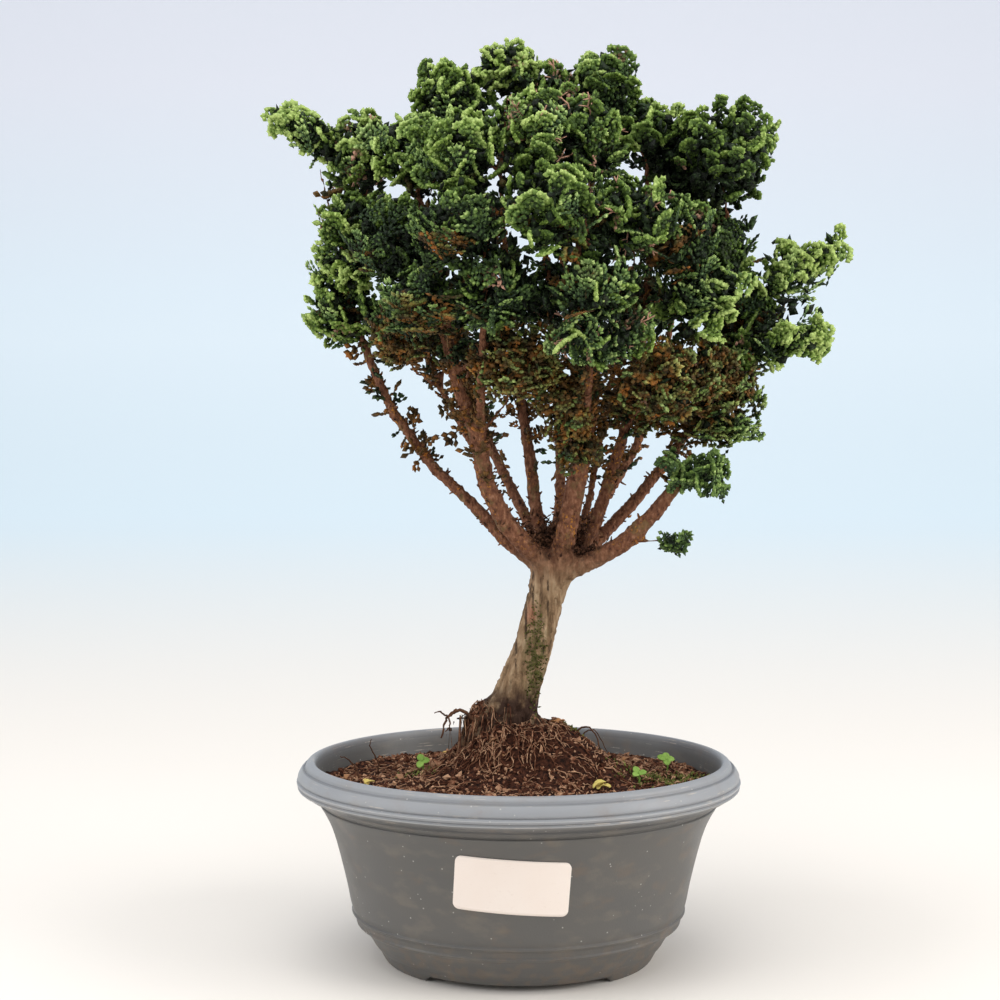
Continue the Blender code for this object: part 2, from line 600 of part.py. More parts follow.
class Clump:
    """One clump of foliage, with the flat bounds that part it from its neighbours."""

    def __init__(self, name, centre, sizes, lean):
        self.name = name
        self.inwards = (Vector(CROWN_MIDDLE) - Vector(centre)).normalized()
        self.sizes = [size * CLUMP_GROWTH for size in sizes]
        self.centre = grown_centre(centre, sizes)
        self.turn = Matrix.Rotation(-math.radians(lean), 3, "Y")
        self.bounds = []
        self.slack = 0

    def reach(self, direction):
        """Distance from the centre to the clump's surface along a direction."""
        local = self.turn.inverted() @ direction
        return 1 / math.sqrt(sum((part / size) ** 2 for part, size in zip(local, self.sizes)))

    def part_from(self, other):
        """Sets the bound against a neighbour, where their sizes divide the way between them."""
        between = other.centre - self.centre
        distance = between.length
        direction = between / distance
        own = self.reach(direction)
        others = other.reach(direction)
        if distance < (own + others) * NEIGHBOUR_REACH:
            self.bounds.append((direction, distance * own / (own + others) - CLEARANCE / 2))

    def inside(self, point, margin=0):
        """The point, drawn in towards the centre until it is a margin clear of the bounds."""
        share = 1
        for direction, limit in self.bounds:
            out = direction.dot(point - self.centre)
            most = limit - self.slack - margin
            if out > most:
                share = min(share, most / out)
        return self.centre + (point - self.centre) * share

    def place(self, point, margin=0):
        """The place in the clump of a point of the unit sphere, kept within the bounds."""
        stretched_point = Vector([part * size for part, size in zip(point, self.sizes)])
        return self.inside(self.centre + self.turn @ stretched_point, margin)

    def core(self):
        """A small faceted lump that the fans stand out of."""
        shape = bmesh.new()
        bmesh.ops.create_icosphere(shape, subdivisions=1, radius=1)
        for vert in shape.verts:
            vert.co = self.place(vert.co * CORE_SHARE) * MM
        bmesh.ops.recalc_face_normals(shape, faces=shape.faces)
        return bpy.data.objects.new(self.name + "_core", mesh_from(shape, self.name))

    def fan(self, direction, generator):
        """A flat lobed spray that rises off the core like a shingle, or nothing where there is no room."""
        self.slack = generator.uniform(0, FAN_SLACK)
        upwards = Vector((0, 0, 1)) - direction * direction.z
        if upwards.length < 0.3:
            upwards = direction.orthogonal()
        swing = Matrix.Rotation(generator.uniform(-FAN_SWING, FAN_SWING), 3, direction)
        along_surface = swing @ upwards.normalized()
        heading = (direction * FAN_RISE + along_surface).normalized()
        side = direction.cross(along_surface)
        root = direction * FAN_ROOT
        tip = root + heading * FAN_LENGTH
        pressed = self.place(tip) - self.centre
        hidden = direction.dot(self.inwards) > FAN_MOST_INWARDS
        if hidden or pressed.length < FAN_LEAST_REACH * self.reach(pressed.normalized()):
            return None
        outline = [(0, 0)]
        for lobe in range(FAN_LOBES):
            where = 2 * lobe / (FAN_LOBES - 1) - 1
            length = generator.uniform(0.9, 1.05) - 0.12 * where * where
            outline.append((where - LOBE_HALF_WIDTH, length))
            outline.append((where + LOBE_HALF_WIDTH, length))
            if lobe < FAN_LOBES - 1:
                outline.append((where + 1 / (FAN_LOBES - 1), NOTCH_LENGTH))
        points = []
        for turn, share in outline:
            angle = turn * FAN_HALF_ANGLE
            spoke = heading * math.cos(angle) + side * math.sin(angle)
            points.append(self.place(root + spoke * FAN_LENGTH * share))
        middle = self.place(root + heading * FAN_LENGTH * FAN_MIDDLE, FAN_THICKNESS / 2)
        thickness = (self.turn @ heading.cross(side)) * (FAN_THICKNESS / 2)
        return blade(self.name + "_fan", points, middle + thickness, middle - thickness)


def build_foliage(cutter):
    clumps = [Clump(name, *measures) for name, measures in CLUMPS.items()]
    for clump in clumps:
        for other in clumps:
            if other is not clump:
                clump.part_from(other)
    generator = random.Random(CLUMP_SEED)
    for clump in clumps:
        pieces = [clump.core()]
        for direction in sphere_directions(FAN_PLACES, generator):
            fan = clump.fan(direction, generator)
            if fan:
                pieces.append(fan)
        name = "foliage_" + clump.name
        finish(name, fused(name, pieces, [cutter]), "foliage", 30)


def seedling_stem(x, y, height, leans_to, widen=0):
    """The stem's route, from 3 mm down in the peat."""
    ground = soil_height(x, y)
    lean_x = math.cos(math.radians(leans_to))
    lean_y = math.sin(math.radians(leans_to))
    radius = SEEDLING_STEM_RADIUS + widen
    return [
        (x, y, ground - 3 - widen, radius),
        (x + lean_x, y + lean_y, ground + height * 0.5, radius),
        (x + lean_x * 2.5, y + lean_y * 2.5, ground + height, radius),
    ]


def build_seedling(place, x, y, height, leans_to):
    """A stem with two seed leaves and a true leaf, as round blades."""
    stem = seedling_stem(x, y, height, leans_to)
    top = Vector(stem[-1][:3])
    pieces = [tube("stem", stem, TWIG_SIDES)]
    for turn, length in ((0, 6.5), (125, 6), (240, 5)):
        angle = math.radians(leans_to + turn)
        along = Vector((math.cos(angle), math.sin(angle), 0.35)).normalized()
        side = along.cross(Vector((0, 0, 1))).normalized()
        outline = []
        for share, width in ((-0.1, 0), (0.35, 0.3), (0.9, 0.24), (0.9, -0.24), (0.35, -0.3)):
            outline.append(top + along * length * share + side * length * width)
        middle = top + along * length * 0.45
        up = side.cross(along) * 0.6
        pieces.append(blade("leaf", outline, middle + up, middle - up))
    name = f"seedling_{place}"
    return finish(name, fused(name, pieces), "seedling", 50)


def stand_over_origin():
    """Moves every piece and cutter together until the plant's box stands over the origin."""
    bpy.context.view_layer.update()
    graph = bpy.context.evaluated_depsgraph_get()
    corners = []
    for obj in plant.objects:
        piece = obj.evaluated_get(graph)
        corners += [piece.matrix_world @ Vector(corner) for corner in piece.bound_box]
    middle_x = (min(c.x for c in corners) + max(c.x for c in corners)) / 2
    middle_y = (min(c.y for c in corners) + max(c.y for c in corners)) / 2
    stand = add_object("stand", None, helpers)
    for obj in list(plant.objects) + list(helpers.all_objects):
        if obj is not stand:
            obj.parent = stand
    stand.location = (-middle_x, -middle_y, 0)


clear_scene()
plant = new_collection("hinoki_bonsai")
helpers = new_collection("cutters")
helpers.hide_render = True

build_pot()
build_label()
build_wood()
wood_hole = build_wood_cutter()
stem_holes = []
for number, seedling in enumerate(SEEDLINGS, 1):
    build_seedling(number, *seedling)
    hole = tube(f"stem_hole_{number}", seedling_stem(*seedling, widen=CLEARANCE), TWIG_SIDES)
    helpers.objects.link(helper(hole))
    stem_holes.append(hole)
build_soil([wood_hole] + stem_holes)
build_foliage(wood_hole)
stand_over_origin()
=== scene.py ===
"""The looks of a hinoki cypress bonsai in an oval plastic pot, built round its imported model.

Metres, +Z up, in the model's own frame. Lengths and places below are in millimetres, from the table
under the middle of the pot, and are turned into metres where a mesh is made.
"""

import math
from dataclasses import dataclass

import bmesh
import bpy
import numpy as np
from mathutils import Matrix, Vector, noise
from mathutils.bvhtree import BVHTree


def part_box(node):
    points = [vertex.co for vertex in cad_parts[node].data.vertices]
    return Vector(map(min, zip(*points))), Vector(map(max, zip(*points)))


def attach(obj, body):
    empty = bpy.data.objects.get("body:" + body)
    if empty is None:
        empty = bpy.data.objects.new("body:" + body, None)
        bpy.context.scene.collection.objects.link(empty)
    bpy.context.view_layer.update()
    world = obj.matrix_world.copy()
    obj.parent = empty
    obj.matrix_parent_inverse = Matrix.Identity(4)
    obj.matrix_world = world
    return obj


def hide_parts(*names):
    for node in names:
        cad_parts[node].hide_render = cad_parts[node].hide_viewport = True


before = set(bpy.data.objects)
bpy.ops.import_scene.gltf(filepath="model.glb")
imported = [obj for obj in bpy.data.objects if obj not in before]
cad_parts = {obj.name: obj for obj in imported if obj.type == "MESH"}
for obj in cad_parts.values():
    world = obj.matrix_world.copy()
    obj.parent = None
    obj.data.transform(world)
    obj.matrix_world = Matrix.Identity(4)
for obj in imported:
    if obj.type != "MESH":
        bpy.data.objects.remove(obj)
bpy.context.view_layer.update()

MM = 0.001
UP = Vector((0, 0, 1))

# Camera: its distance, height and small turns, as the photograph was taken.
CAMERA_DISTANCE = 680
CAMERA_HEIGHT = 213
CAMERA_LENS = 57.6
CAMERA_SENSOR = 36
CAMERA_PITCH_DOWN = 1.62
CAMERA_TURN = 0.66

# Stage and light, in metres and watts.
STAGE_HALF_WIDTH = 5
STAGE_FRONT = -2
STAGE_BACK = 0.4
STAGE_SWEEP = 3.2  # radius of the bend between floor and backdrop
STAGE_TOP = 6
STAGE_STEPS = 40
WORLD_STRENGTH = 0.5
LIGHT_AIM = (0, 0, 0.2)
LIGHTS = [  # name, place, size, power and colour
    ("top", (-0.1, -0.35, 1.7), 1.6, 17, (1, 0.99, 0.97)),
    ("left", (-1.5, -0.5, 0.8), 1.2, 11, (0.98, 0.99, 1)),
    ("right", (1.5, -0.5, 0.8), 1.2, 17, (1, 0.98, 0.95)),
]

# Pot: half-width and height along its profile, at the long side of the oval.
POT_OVAL = 0.9
POT_STEPS = 96
POT_INSIDE = [(0, 5.5), (57, 5.5), (62, 12.5), (69.2, 24), (73.5, 43), (82.3, 66), (85.6, 80), (86.2, 83)]
POT_LIP = [
    (87.2, 84.1), (89, 83.8), (90.2, 82.6), (90.3, 81.4), (90.8, 80.9), (91.3, 81.3), (91.9, 80.9),
    (93.2, 79), (93.8, 77.2), (93.5, 76.7), (93.2, 76.3), (93.6, 75.9), (94.1, 75.9),
]
POT_BEAD = [
    (94.2, 75.2), (93.9, 74.5), (93.3, 74), (93.6, 73.6), (93.8, 73.1), (93.3, 72.6), (92, 72),
    (90.2, 70.6), (86.8, 69.4), (85.6, 68.6), (85.2, 68), (84.8, 67.4),
]
POT_WALL = [
    (84.1, 66.9), (84, 66.6), (84.6, 66.2), (84.2, 65.4), (82.4, 62.6), (79.1, 56), (75.5, 43),
    (72.8, 31.5), (71.6, 25), (70.9, 22.4),
]
POT_RINGS = [
    (70.3, 21.1), (71.1, 20.7), (70.9, 19.8), (69.7, 19.4), (68.6, 16.7), (69.2, 16.3), (68.8, 15.3),
    (67.4, 15.0), (63.4, 10.4),
]
POT_FOOT = [
    (62, 7.6), (60.9, 6.2), (60, 5.4), (57.2, 0.3), (56.6, 0), (52, 0), (51.2, 0.4), (50.5, 3), (0, 3),
]
POT_ROUNDING = 2  # times that the profile's corners are cut
FOOT_INNER_HALF_WIDTH = 50
FOOT_NOTCH_HALF_WIDTH = 38
FOOT_NOTCH_HEIGHT = 2.7
FOOT_NOTCH_SLOPE = 3
DRAIN_HOLE_RADIUS = 4.5
DRAIN_HOLE_PLACES = [(27, 0), (-27, 0), (0, 24), (0, -24)]
DRILL_LENGTH = 12
DRILL_MIDDLE = 4
RIM_SHADE_LINES = [  # height, half-width and share of painted shade: dark lines in the rim's creases and a broad band under its bead
    (81.1, 0.5, 0.45), (76.3, 0.35, 0.5), (74, 0.35, 0.55), (69.8, 3, 0.75), (67.4, 1.1, 0.6),
]
RIM_HIGHLIGHTS = [(75.3, 0.3, 0.4), (73.1, 0.25, 0.45), (66, 0.3, 0.35)]
POT_MOUTH = (0, 0, 75)  # what lies within this oval column is the inside of the pot
POT_MOUTH_SIZES = (89, 89 * POT_OVAL, 900)

# Label: a bare sticker on the front wall.
LABEL_WIDTH = 45.5
LABEL_HEIGHT = 22.5
LABEL_CORNER = 2.6
LABEL_CENTRE = (-2.6, 46.7)
LABEL_TURN = math.radians(-3.8)
LABEL_GAP = 0.12
LABEL_THICKNESS = 0.3

# Wood.
WOOD_VOXEL = 1.5
WOOD_GROWTH = 0.12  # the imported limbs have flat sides, inside the round ones
WOOD_SMOOTHING = 3
TRUNK_TOP = 168
FURROW_DEPTH = 1.5
FURROW_SHARE = 0.09  # the grain is a furrow where its noise is this near to 0
TRUNK_CRACKS = [  # middles and half-sizes of dark splits in the bark
    ((6.2, -5, 158), (0.8, 5, 15)), ((3.2, -5, 143), (0.8, 5, 15)), ((-1, -5, 128), (0.9, 5, 15)),
    ((12.4, -8, 154), (0.7, 5, 14)), ((10.6, -8, 134), (0.6, 5, 13)),
]
STUB_SEED = 5
STUB_COUNT = 800
STUB_LENGTHS = (1.0, 2.4)
STUB_RADII = (0.45, 0.8)
CROTCH = (14, -2, 176)  # where the limbs part
CROTCH_REACH = (24, 17)
LITTER_SEED = 6
LITTER_COUNT = 1500
LITTER_LENGTHS = (1.6, 4.2)
LITTER_PILE_HEIGHT = 5
LITTER_PILE_REACH = 11
TRUNK_MOSS_SEED = 8
TRUNK_MOSS = ((7, -8, 126), (5, 8, 26))  # middle and half-sizes
TRUNK_MOSS_COUNT = 380
TRUNK_MOSS_TRIES = 60000
TRUNK_MOSS_LENGTHS = (0.7, 1.3)

# Peat and what lies on it.
SOIL_VOXEL = 2.1
SOIL_ROUGHNESS = 1.0
SOIL_HALF_WIDTH = 85
SOIL_REACH = 0.93
MOUND_TOP = 108  # the trunk's foot is overgrown up to here
DROP_HEIGHT = 130  # things are dropped onto the peat from here
LOW_DROP_HEIGHT = 110
HEADINGS = (0, 6.3)  # all the way round, in radians
CRUMB_SEED = 21
CRUMB_COUNT = 4000
CRUMB_SIZES = (0.5, 0.75, 1.1, 1.7)
CRUMB_SIZE_SHARES = (0.46, 0.36, 0.15, 0.03)
FIBRE_SEED = 22
FIBRE_COUNT = 1200
FIBRE_RADII = (0.16, 0.36)
STRAND_COUNT = 620  # fallen roots that run down from the trunk
STRAND_MIDDLE = (-8, -4)
STRAND_REACH = (5, 27)
STRAND_RADII = (0.16, 0.34)
MOSS_SEED = 23
MOSS_PATCHES = [((58, -16), 15, 260), ((70, -4), 9, 130), ((-42, -10), 8, 60), ((22, -2), 4, 70)]
LOOSE_ROOT_SEED = 24
LOOSE_ROOT_STEPS = 16
LOOSE_ROOTS = [  # their paths, and how thick each is
    ([(-18, -8, 100), (-23, -9, 105.5), (-28, -10, 105), (-31, -10, 101), (-32.5, -11, 94)], 0.9),
    ([(-26, -9.5, 105.8), (-29, -12, 103.5), (-28.5, -13, 99.5), (-30.5, -13, 97)], 0.55),
    ([(-30, -10, 103), (-33, -9, 105), (-35.5, -8, 104)], 0.45),
    ([(-67, -10, 76), (-68, -10, 80.5), (-71, -10, 84.5), (-75, -10, 86)], 0.5),
    ([(-60, 4, 76), (-60.7, 4, 83), (-64, 3, 87.5), (-63, 3, 91)], 0.4),
    ([(21, -5, 84), (22.5, -4, 92), (27, -4, 98.5), (32, -4, 97), (34, -4, 90), (36, -5, 82)], 0.55),
    ([(24, -2, 84), (28, 0, 95), (33, 1, 96), (38, 2, 86)], 0.4),
]
LEAF_BIT_SEED = 25
LEAF_BIT_THICKNESS = 0.2
LEAF_BITS = [  # place, length, turn in degrees, and tone from brown to yellow
    ((30, -40), 6, 20, 1), ((32, -41), 6, 75, 0.9), ((33, -39), 5, -40, 1), ((16, -7), 4.5, 40, 0.45),
    ((17, -8), 3.5, 150, 0.5), ((-12, -20), 4, 10, 0.3), ((-6, -26), 5, 60, 0.35),
    ((-49, -21), 4.5, 100, 0.3), ((-64, -25), 5, 10, 0.95), ((-62, -26), 4, 120, 0.9),
    ((-73, -9), 3.5, 80, 0.4), ((45, 20), 5, 30, 0.4), ((-30, 40), 5, 200, 0.8), ((12, 52), 4.5, 280, 0.35),
]
STRAW = [(14, -21, 81), (18, -21, 81.5), (23, -20, 80)]
STRAW_RADIUS = 0.45
SEEDLINGS = [  # node, number of leaves and their length
    ("seedling_1", 3, 3.6), ("seedling_2", 4, 3.6), ("seedling_3", 3, 3.2),
]
SEEDLING_HEAD_DROP = 2.6  # how far the leaves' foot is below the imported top
SEEDLING_STEM_RADII = (0.4, 0.36, 0.3)
SEEDLING_LEAF_THICKNESS = 0.18

# Foliage: a lobe is one blunt scale-leaved knob, and a spray is a flat fan of them.
LOBE_THICKEST = 0.58  # where along it a lobe is thickest
LOBE_OVERLAP = 0.2  # how far it reaches back into the lobe before it
CROWN_MIDDLE = (14, 6, 285)
CROWN_HALF_SIZES = (122, 92, 106)
FOLIAGE_SEED = 11
SPRAY_KINDS = 7  # different sprays made of each form
SPRAY_SCALES = (0.94, 1.28)
SPRAY_PROUD = 1.4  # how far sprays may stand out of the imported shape
TOP_OF_CLUMP = 0.75  # where the way out of a clump is steeper than this, sprays stand and don't lie
THICK_SHARE = 1.05  # of a clump's half-sizes: a spray's root is nearer to the middle than this
BENDS = 8  # how often a spray is turned outwards, until its root is there, and by how much
BEND = 0.3
CLUMP_SAMPLES = 300  # points on a packed clump, between which its sprays are spread
CLUMP_ROUNDNESS = 0.94  # half of them lie on an ellipsoid of this share of the clump's box
NEIGHBOUR_REACH = 38  # clumps whose middles are nearer than this grow into each other
SPRAY_PULL = 0.5  # how far along the way to a neighbour sprays and thicket lobes may be moved
THICKET_PULL = 0.9
SPRAY_DENSITY = 0.7  # sprays for each millimetre of a clump's size
DENSE_SPRAY_DENSITY = 1.1
CRUMBLY_SPRAY_DENSITY = 3.2
THICKET_DENSITY = 2.8  # lobes inside a clump, painted dark as shade, for each millimetre of its size
DENSE_THICKET_SHARE = 1.7
THICKET_DEPTH = 0.72
THICKET_HALF_LENGTHS = (2.6, 4.4)
THICKET_WIDTHS = (1.5, 2.5)
THICKET_HEIGHT = 0.8
LYING_SHARES = (0.85, 0.15, 0.55)  # sprays that lie, in feathery, dense and other clumps
FINE_SHARE = 0.35  # of the lying sprays, those that are feathery
PINK_SHARES = (0.03, 0.22)  # sprays with a pink stem, elsewhere and in the pink clumps
TONE_SPREAD = 0.12
BRIGHT_TONE = 0.32
DARK_TONE = -0.16
DEAD_TWIG_COUNT = 9  # pale dead twigs that stand out of a pink clump
DEAD_TWIG_PROUD = (1.5, 4.5)
DEAD_TWIG_DEPTH = -9
DEAD_TWIG_RADII = (0.5, 0.35)  # of the twig and of its side twigs
INNER_SPRAY_SEED = 31
INNER_SPRAY_COUNT = 900
INNER_SPRAY_HEIGHTS = (-0.86, -0.45)  # where in the crown they begin, and where there are most

# Foliage nodes by their names after the word foliage.
FEATHERY_CLUMPS = {
    "under_dome", "left_front", "front_left", "front_left_low", "front_mid_low", "front_right_low",
    "hanging", "right_low", "right_under", "right_skirt", "left_skirt", "front_spray",
    "left_back_low", "front_far_right", "back_left_low", "back_low", "back_right_low",
}
BROWN_CLUMPS = {"under_left", "under_right", "inner_right", "hanging"}
DENSE_CLUMPS = {"dome_right", "dome_inner", "top_tip", "crest_left"}
BRIGHT_CLUMPS = {  # young growth, lighter and with nothing dead in it
    "tip_left", "tip_right", "right_end", "top_tip", "left_spray", "right_front", "front_spray",
}
CRUMBLY_CLUMPS = {  # made of many short sprays, olive and brown
    "hanging", "right_under", "right_skirt", "left_skirt", "under_left", "under_right", "inner_right",
}
CRUMBLED_SPRAY_CLUMPS = CRUMBLY_CLUMPS | {"sprig"}
PINK_CLUMPS = {"front_right_high", "front_spray", "front_right", "crest_mid", "left_high", "front_mid_high"}
LONE_CLUMPS = {"sprig", "right_tuft"}
LEADS = {  # the way that all the sprays of a long clump grow
    "tip_left": (-1.3, 0, 0.8), "tip_right": (1.2, 0, 1.0), "right_end": (1.3, 0, 0.1),
    "left_spray": (-1.2, 0, 0.3), "front_spray": (0.5, -0.9, -0.2), "hanging": (0, 0, -1.2),
}
SWELLS = {  # clumps whose sprays reach further out, or less far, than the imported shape, each way
    "dome_right": (1.36, 1.1, 1.1), "hanging": (0.7, 1, 1.5), "tip_right": (1.12, 0.8, 1.12),
    "right_skirt": (1.2, 1, 1.1), "right_under": (1.2, 1, 1), "sprig": (0.8, 0.65, 0.65),
}
SHIFTS = {"hanging": (-4, -2, -2), "sprig": (1.5, 0, -1)}
SLIM_SHARES = {"tip_right": 0.55, "tip_left": 0.75}  # clumps drawn in round their lead


def srgb(red, green, blue):
    """A colour as it looks on the screen, from 0 to 255, in the linear values that shaders take."""
    shown = [part / 255 for part in (red, green, blue)]
    linear = [part / 12.92 if part <= 0.04045 else ((part + 0.055) / 1.055) ** 2.4 for part in shown]
    return (*linear, 1)


def smooth_step(value, low, high):
    share = np.clip((value - low) / (high - low), 0, 1)
    return share * share * (3 - 2 * share)


pot_low, pot_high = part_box("pot")
POT_MIDDLE = Vector(((pot_low.x + pot_high.x) / 2, (pot_low.y + pot_high.y) / 2, 0))


def placed(x, y, z):
    """A place measured from the middle of the pot, in the model's frame."""
    return POT_MIDDLE + Vector((x, y, z)) * MM


def measured(place):
    """A place in the model's frame, in millimetres from the middle of the pot."""
    return (place - np.array(POT_MIDDLE)) / MM


def unit(vector):
    return vector / np.linalg.norm(vector)


def jitter(chooser, spread=1):
    return chooser.normal(size=3) * spread


# Meshes


def linked(obj):
    bpy.context.scene.collection.objects.link(obj)
    return obj


def mesh_object(name, points, faces):
    """An object from points in metres and rows of point numbers, one row a face."""
    faces = np.asarray(faces, np.int32)
    mesh = bpy.data.meshes.new(name)
    mesh.vertices.add(len(points))
    mesh.vertices.foreach_set("co", np.asarray(points, np.float32).ravel())
    mesh.loops.add(faces.size)
    mesh.loops.foreach_set("vertex_index", faces.ravel())
    mesh.polygons.add(len(faces))
    mesh.polygons.foreach_set("loop_start", np.arange(0, faces.size, faces.shape[1], dtype=np.int32))
    mesh.update(calc_edges=True)
    mesh.shade_smooth()
    return linked(bpy.data.objects.new(name, mesh))


def object_of(shape, name):
    """An object from an edit mesh, which is let go."""
    mesh = bpy.data.meshes.new(name)
    shape.to_mesh(mesh)
    shape.free()
    return linked(bpy.data.objects.new(name, mesh))


def dress(obj, material, replaced=()):
    """Gives a piece its material and slot, and fixes it to the plant."""
    obj.data.materials.clear()
    obj.data.materials.append(material)
    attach(obj, "root")
    if replaced:
        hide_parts(*replaced)
    return obj


def apply_modifiers(obj):
    graph = bpy.context.evaluated_depsgraph_get()
    mesh = bpy.data.meshes.new_from_object(obj.evaluated_get(graph))
    obj.modifiers.clear()
    obj.data = mesh
    return obj


def thickened(obj, thickness, offset=-1):
    solid = obj.modifiers.new("thickness", "SOLIDIFY")
    solid.thickness = thickness * MM
    solid.offset = offset
    return apply_modifiers(obj)


def even_copy(node, name, growth, voxel, smoothing):
    """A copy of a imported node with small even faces, a little fatter and rounder."""
    shape = bmesh.new()
    shape.from_mesh(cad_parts[node].data)
    bmesh.ops.remove_doubles(shape, verts=shape.verts, dist=1e-6)
    obj = object_of(shape, name)
    if growth:
        swell = obj.modifiers.new("swell", "DISPLACE")
        swell.mid_level = 0
        swell.strength = growth * MM
    remesh = obj.modifiers.new("even faces", "REMESH")
    remesh.mode = "VOXEL"
    remesh.voxel_size = voxel * MM
    soften = obj.modifiers.new("round", "SMOOTH")
    soften.iterations = smoothing
    apply_modifiers(obj)
    obj.data.shade_smooth()
    return obj


def read_points(mesh):
    places = np.empty(len(mesh.vertices) * 3, np.float32)
    mesh.vertices.foreach_get("co", places)
    return places.reshape(-1, 3)


def move_points(obj, distance_at):
    """Moves each point along its normal by the millimetres that distance_at gives for its place."""
    mesh = obj.data
    places = read_points(mesh)
    normals = np.empty(len(mesh.vertices) * 3, np.float32)
    mesh.vertex_normals.foreach_get("vector", normals)
    normals = normals.reshape(-1, 3)
    steps = [distance_at(Vector(place), normal) for place, normal in zip(measured(places), normals)]
    places += normals * (np.array(steps) * MM)[:, None]
    mesh.vertices.foreach_set("co", places.astype(np.float32).ravel())
    mesh.update()


def sample_surface(mesh, count, chooser):
    """Points spread over a mesh by area, with the normal of the face that each lies on."""
    mesh.calc_loop_triangles()
    corners = np.empty(len(mesh.loop_triangles) * 3, np.int32)
    mesh.loop_triangles.foreach_get("vertices", corners)
    a, b, c = read_points(mesh)[corners.reshape(-1, 3)].transpose(1, 0, 2).astype(float)
    cross = np.cross(b - a, c - a)
    area = np.linalg.norm(cross, axis=1)
    picked = chooser.choice(len(area), count, p=area / area.sum())
    first = np.sqrt(chooser.random(count))[:, None]
    second = chooser.random(count)[:, None]
    points = a[picked] * (1 - first) + b[picked] * first * (1 - second) + c[picked] * first * second
    return points, cross[picked] / area[picked][:, None]


def spread_out(points, count):
    """Which of the points to keep, so that those kept lie far from each other."""
    kept = [0]
    nearest = np.linalg.norm(points - points[0], axis=1)
    while len(kept) < min(count, len(points)):
        furthest = int(nearest.argmax())
        kept.append(furthest)
        nearest = np.minimum(nearest, np.linalg.norm(points - points[furthest], axis=1))
    return kept


def surface_of(*objects):
    """A tree of the faces of some objects, to drop things onto."""
    shape = bmesh.new()
    for obj in objects:
        shape.from_mesh(obj.data)
    tree = BVHTree.FromBMesh(shape)
    shape.free()
    return tree


def dropped(tree, x, y, height=DROP_HEIGHT):
    """Where a thing falls to, from a height over the pot, in millimetres, or None."""
    hit = tree.ray_cast(placed(x, y, height), -UP)
    if hit[0] is None:
        return None
    return (hit[0] - POT_MIDDLE) / MM


class Gathered:
    """Many small shapes gathered into the points and faces of one mesh, with four numbers a point."""

    def __init__(self):
        self.points = []
        self.faces = []
        self.tints = []
        self.total = 0

    def add(self, points, faces, tints):
        """Adds a shape in metres."""
        self.points.append(points)
        self.faces.append(faces + self.total)
        self.tints.append(np.broadcast_to(tints, (len(points), 4)))
        self.total += len(points)

    def put(self, points, faces, tone, *others):
        """Adds a shape in millimetres from the middle of the pot, all of one tone."""
        self.add(np.array(POT_MIDDLE) + points * MM, faces, (tone, *(others or (0, 0, 1))))

    def as_object(self, name):
        obj = mesh_object(name, np.concatenate(self.points), np.concatenate(self.faces))
        layer = obj.data.attributes.new("tint", "FLOAT_COLOR", "POINT")
        layer.data.foreach_set("color", np.asarray(np.concatenate(self.tints), np.float32).ravel())
        return obj


def begun(seed):
    """What a piece of many parts starts from: its random draws, and nothing gathered yet."""
    return np.random.default_rng(seed), Gathered()


# Small shapes, in millimetres


LOBE_FACES = np.array([
    (0, 2, 1), (0, 3, 2), (0, 4, 3), (0, 1, 4), (5, 1, 2), (5, 2, 3), (5, 3, 4), (5, 4, 1),
])
# Painted highlight at each lobe's tip and painted shade at its foot, point by point
LOBE_PAINTED_HIGHLIGHT = np.array([0, 0.6, 0.6, 0.6, 0.6, 1])
CRUMB_FACES = np.array([
    (0, 2, 4), (2, 1, 4), (1, 3, 4), (3, 0, 4), (2, 0, 5), (1, 2, 5), (3, 1, 5), (0, 3, 5),
])


def lobe(start, end, half_width, half_height, flat_up):
    """A blunt knob with four sides, from start to end."""
    along = end - start
    side = np.cross(flat_up, along)
    side /= np.linalg.norm(side) + 1e-9
    up = np.cross(along, side)
    up /= np.linalg.norm(up) + 1e-9
    middle = start + along * LOBE_THICKEST
    ring = [side * half_width, up * half_height, -side * half_width, -up * half_height]
    return np.array([start] + [middle + corner for corner in ring] + [end])


def strand(path, radii, sides=3):
    """Points and triangles of a thin tube along a path, closed at both ends."""
    path = np.asarray(path, float)
    ahead = np.gradient(path, axis=0)
    ahead /= np.linalg.norm(ahead, axis=1)[:, None] + 1e-9
    across = np.cross(ahead, (0.3, 0.2, 0.93))
    across /= np.linalg.norm(across, axis=1)[:, None] + 1e-9
    over = np.cross(ahead, across)
    points = [path[0]]
    for place, radius, sideways, upwards in zip(path, radii, across, over):
        for corner in range(sides):
            angle = 2 * math.pi * corner / sides
            points.append(place + radius * (sideways * math.cos(angle) + upwards * math.sin(angle)))
    points.append(path[-1])
    faces = []
    last = len(points) - 1
    for corner in range(sides):
        after = (corner + 1) % sides
        faces.append((0, 1 + after, 1 + corner))
        for row in range(len(path) - 1):
            low = 1 + row * sides
            faces.append((low + corner, low + after, low + sides + after))
            faces.append((low + corner, low + sides + after, low + sides + corner))
        faces.append((last - sides + corner, last - sides + after, last))
    return np.array(points), np.array(faces)


def crumb(centre, sizes, chooser):
    """A crumb with eight uneven faces."""
    corners = np.array([(1, 0, 0), (-1, 0, 0), (0, 1, 0), (0, -1, 0), (0, 0, 1), (0, 0, -1)], float)
    corners *= chooser.uniform(0.6, 1.15, (6, 1))
    corners += chooser.uniform(-0.25, 0.25, (6, 3))
    turn = np.array(Matrix.Rotation(chooser.uniform(*HEADINGS), 3, Vector(jitter(chooser))))
    return centre + (corners * sizes) @ turn.T


